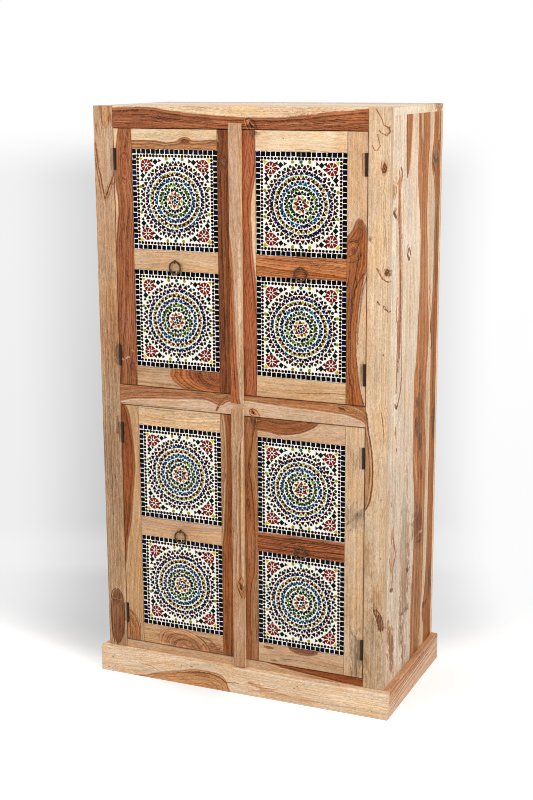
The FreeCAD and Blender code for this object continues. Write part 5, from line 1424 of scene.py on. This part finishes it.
def make_paper_look():
    """Studio paper: white on the floor, and light grey behind the cabinet, where it glows with painted
    shade:
    grey to the left, the cabinet's soft shadow beside it, none high up and less in a low band. Its back is
    clear.
    The painted shade is drawn in metres up from the floor, and aside from and ahead of the camera."""
    made, graph, shader = material("studio_paper")
    spot = graph.place()
    height = graph.split(spot)[2]
    aside, distance = (graph.math("SUBTRACT", graph.dot(spot, direction), direction.dot(EYE))
                       for direction in (SIDEWAYS, AHEAD))
    # Painted shade on the backdrop: grey to the left, and the cabinet's soft shadow beside it on both sides.
    painted_shade_left = graph.step(aside, -0.1, -0.6, 0.0, 0.113)
    painted_cabinet_shadow_left = graph.math("MULTIPLY", graph.step(aside, -0.98, -0.5, 0.0, 0.24),
                           graph.step(aside, 0.1, -0.3))
    painted_cabinet_shadow_right = graph.math("MULTIPLY", graph.step(aside, 0.88, 0.56, 0.0, 0.24),
                            graph.step(aside, 0.0, 0.3))
    painted_shade_low_right = graph.math("MULTIPLY", graph.step(aside, 0.4, 0.8),
                           graph.step(height, 1.2, 0.0, 0.0, 0.03))
    backdrop_painted_shade = graph.math("ADD", painted_shade_left, painted_cabinet_shadow_left)
    backdrop_painted_shade = graph.math("MULTIPLY", backdrop_painted_shade, graph.step(height, 1.4, 0.2, 1.0, 1.25))
    backdrop_painted_shade = graph.math("ADD", backdrop_painted_shade, graph.math("ADD", painted_cabinet_shadow_right, painted_shade_low_right))
    backdrop_painted_shade = graph.math("MULTIPLY", backdrop_painted_shade, graph.step(height, 1.66, 1.44))
    # A painted lighter band low on the paper, just above the floor.
    painted_light_band = graph.math("MULTIPLY", graph.step(height, 0.02, 0.06), graph.step(height, 0.18, 0.1))
    backdrop_painted_shade = graph.math("MULTIPLY", backdrop_painted_shade, graph.math("MULTIPLY_ADD", painted_light_band, -0.2, 1.0))
    left_seam = graph.math("MULTIPLY_ADD", aside, -0.74, 3.85)
    right_seam = graph.math("MULTIPLY_ADD", aside, 0.5, 4.05)
    beyond = graph.math("SUBTRACT", distance, graph.math("MAXIMUM", left_seam, right_seam))
    backdrop_painted_shade = graph.math("MULTIPLY", backdrop_painted_shade, graph.step(beyond, -0.12, 0.12))
    level = graph.math("SUBTRACT", 1.0, backdrop_painted_shade)
    seen = plain_stage(graph, shader, srgb(240, 240, 241))
    # Behind the cabinet the paper is a glow that carries this painted shade.
    painted_shade_glow = graph.add("ShaderNodeEmission")
    graph.feed(painted_shade_glow.inputs["Color"], graph.vector(level, level, level))
    behind_cabinet = graph.math("MULTIPLY", seen, graph.step(beyond, -0.3, 0.3))
    front = graph.mix_shader(behind_cabinet, shader.outputs[0], painted_shade_glow.outputs[0])
    backfacing = graph.add("ShaderNodeNewGeometry").outputs["Backfacing"]
    clear = graph.add("ShaderNodeBsdfTransparent").outputs[0]
    output = next(node for node in made.node_tree.nodes if node.type == "OUTPUT_MATERIAL")
    graph.feed(output.inputs["Surface"], graph.mix_shader(backfacing, front, clear))
    return made


def make_floor_look():
    """The plain floor all round, which shows only in views from the sides and the back."""
    made, graph, shader = material("studio_floor")
    cloud = graph.noise(vector=graph.place(), scale=0.6, detail=2)
    plain_stage(graph, shader, graph.mix(cloud, srgb(238, 238, 239), srgb(244, 244, 245)))
    return made


def stage_piece(name, verts, faces, look):
    mesh = bpy.data.meshes.new(name)
    mesh.from_pydata(verts, [], faces)
    mesh.materials.append(look)
    piece = bpy.data.objects.new(name, mesh)
    bpy.context.scene.collection.objects.link(piece)
    return mesh


def make_floor():
    """A wide round floor, a little below the paper."""
    verts = [(0.0, 0.0, FLOOR_DEPTH)]
    for number in range(FLOOR_CORNERS):
        angle = math.tau * number / FLOOR_CORNERS
        verts.append((FLOOR_REACH * math.cos(angle), FLOOR_REACH * math.sin(angle), FLOOR_DEPTH))
    faces = [(0, number + 1, (number + 1) % FLOOR_CORNERS + 1) for number in range(FLOOR_CORNERS)]
    stage_piece("studio_floor", verts, faces, make_floor_look())


def make_paper():
    """One sheet of paper: the floor, a sweep, and the upright part behind the cabinet."""
    profile = [(-LONG, 0.0)]
    for number in range(SWEEP_STEPS + 1):
        angle = math.pi / 2 * number / SWEEP_STEPS
        profile.append((SWEEP_RADIUS * math.sin(angle) - SWEEP_RADIUS,
                        SWEEP_RADIUS * (1 - math.cos(angle))))
    profile.append((0.0, TALL))
    foot = Vector((EYE.x, EYE.y, 0)) + AHEAD * WALL_DISTANCE
    verts = []
    for offset, height in profile:
        for side in (-HALF_WIDTH, HALF_WIDTH):
            point = foot + AHEAD * offset + SIDEWAYS * side
            verts.append((point.x, point.y, height))
    firsts = range(0, 2 * len(profile) - 2, 2)
    faces = [(first, first + 1, first + 3, first + 2) for first in firsts]
    mesh = stage_piece("studio_paper", verts, faces, make_paper_look())
    for face in mesh.polygons:
        face.use_smooth = True


def lamp(name, place, target, size, power):
    data = bpy.data.lights.new(name, "AREA")
    data.shape = "RECTANGLE"
    data.size, data.size_y = size
    data.energy = power
    made = bpy.data.objects.new(name, data)
    made.location = place
    made.rotation_mode = "QUATERNION"
    made.rotation_quaternion = (Vector(target) - Vector(place)).to_track_quat("-Z", "Y")
    bpy.context.scene.collection.objects.link(made)


def make_camera():
    """The photo's camera, from the angles and the place that were solved from its corners."""
    data = bpy.data.cameras.new("camera")
    data.lens = FOCAL_PIXELS / PHOTO_HEIGHT * SENSOR
    data.sensor_width = SENSOR
    camera = bpy.data.objects.new("camera", data)
    bpy.context.scene.collection.objects.link(camera)
    level = math.cos(PITCH)
    look = Vector((math.sin(YAW) * level, math.cos(YAW) * level, math.sin(PITCH)))
    right = look.cross(Vector((0, 0, 1))).normalized()
    up = right.cross(look)
    turned_right = math.cos(ROLL) * right + math.sin(ROLL) * up
    turned_up = -math.sin(ROLL) * right + math.cos(ROLL) * up
    turn = Matrix((turned_right, turned_up, -look)).transposed().to_4x4()
    camera.matrix_world = Matrix.Translation(EYE) @ turn
    bpy.context.scene.camera = camera


make_paper()
make_floor()
lamp("key", (-2.6, -3.6, 2.6), (0, 0, 0.95), (2.0, 2.6), 80)
lamp("fill", (3.6, -2.2, 2.2), (0, 0, 0.95), (2.0, 2.6), 75)
lamp("overhead", (0.2, -0.6, 3.6), (0, 0, 0.8), (2.6, 2.6), 34)
world = bpy.data.worlds.new("studio")
bpy.context.scene.world = world
world.use_nodes = True
world.node_tree.nodes["Background"].inputs["Color"].default_value = (1, 1, 1, 1)
world.node_tree.nodes["Background"].inputs["Strength"].default_value = 0.3
make_camera()
bpy.context.scene.view_settings.view_transform = "Standard"
bpy.context.scene.cycles.filter_width = 0.85
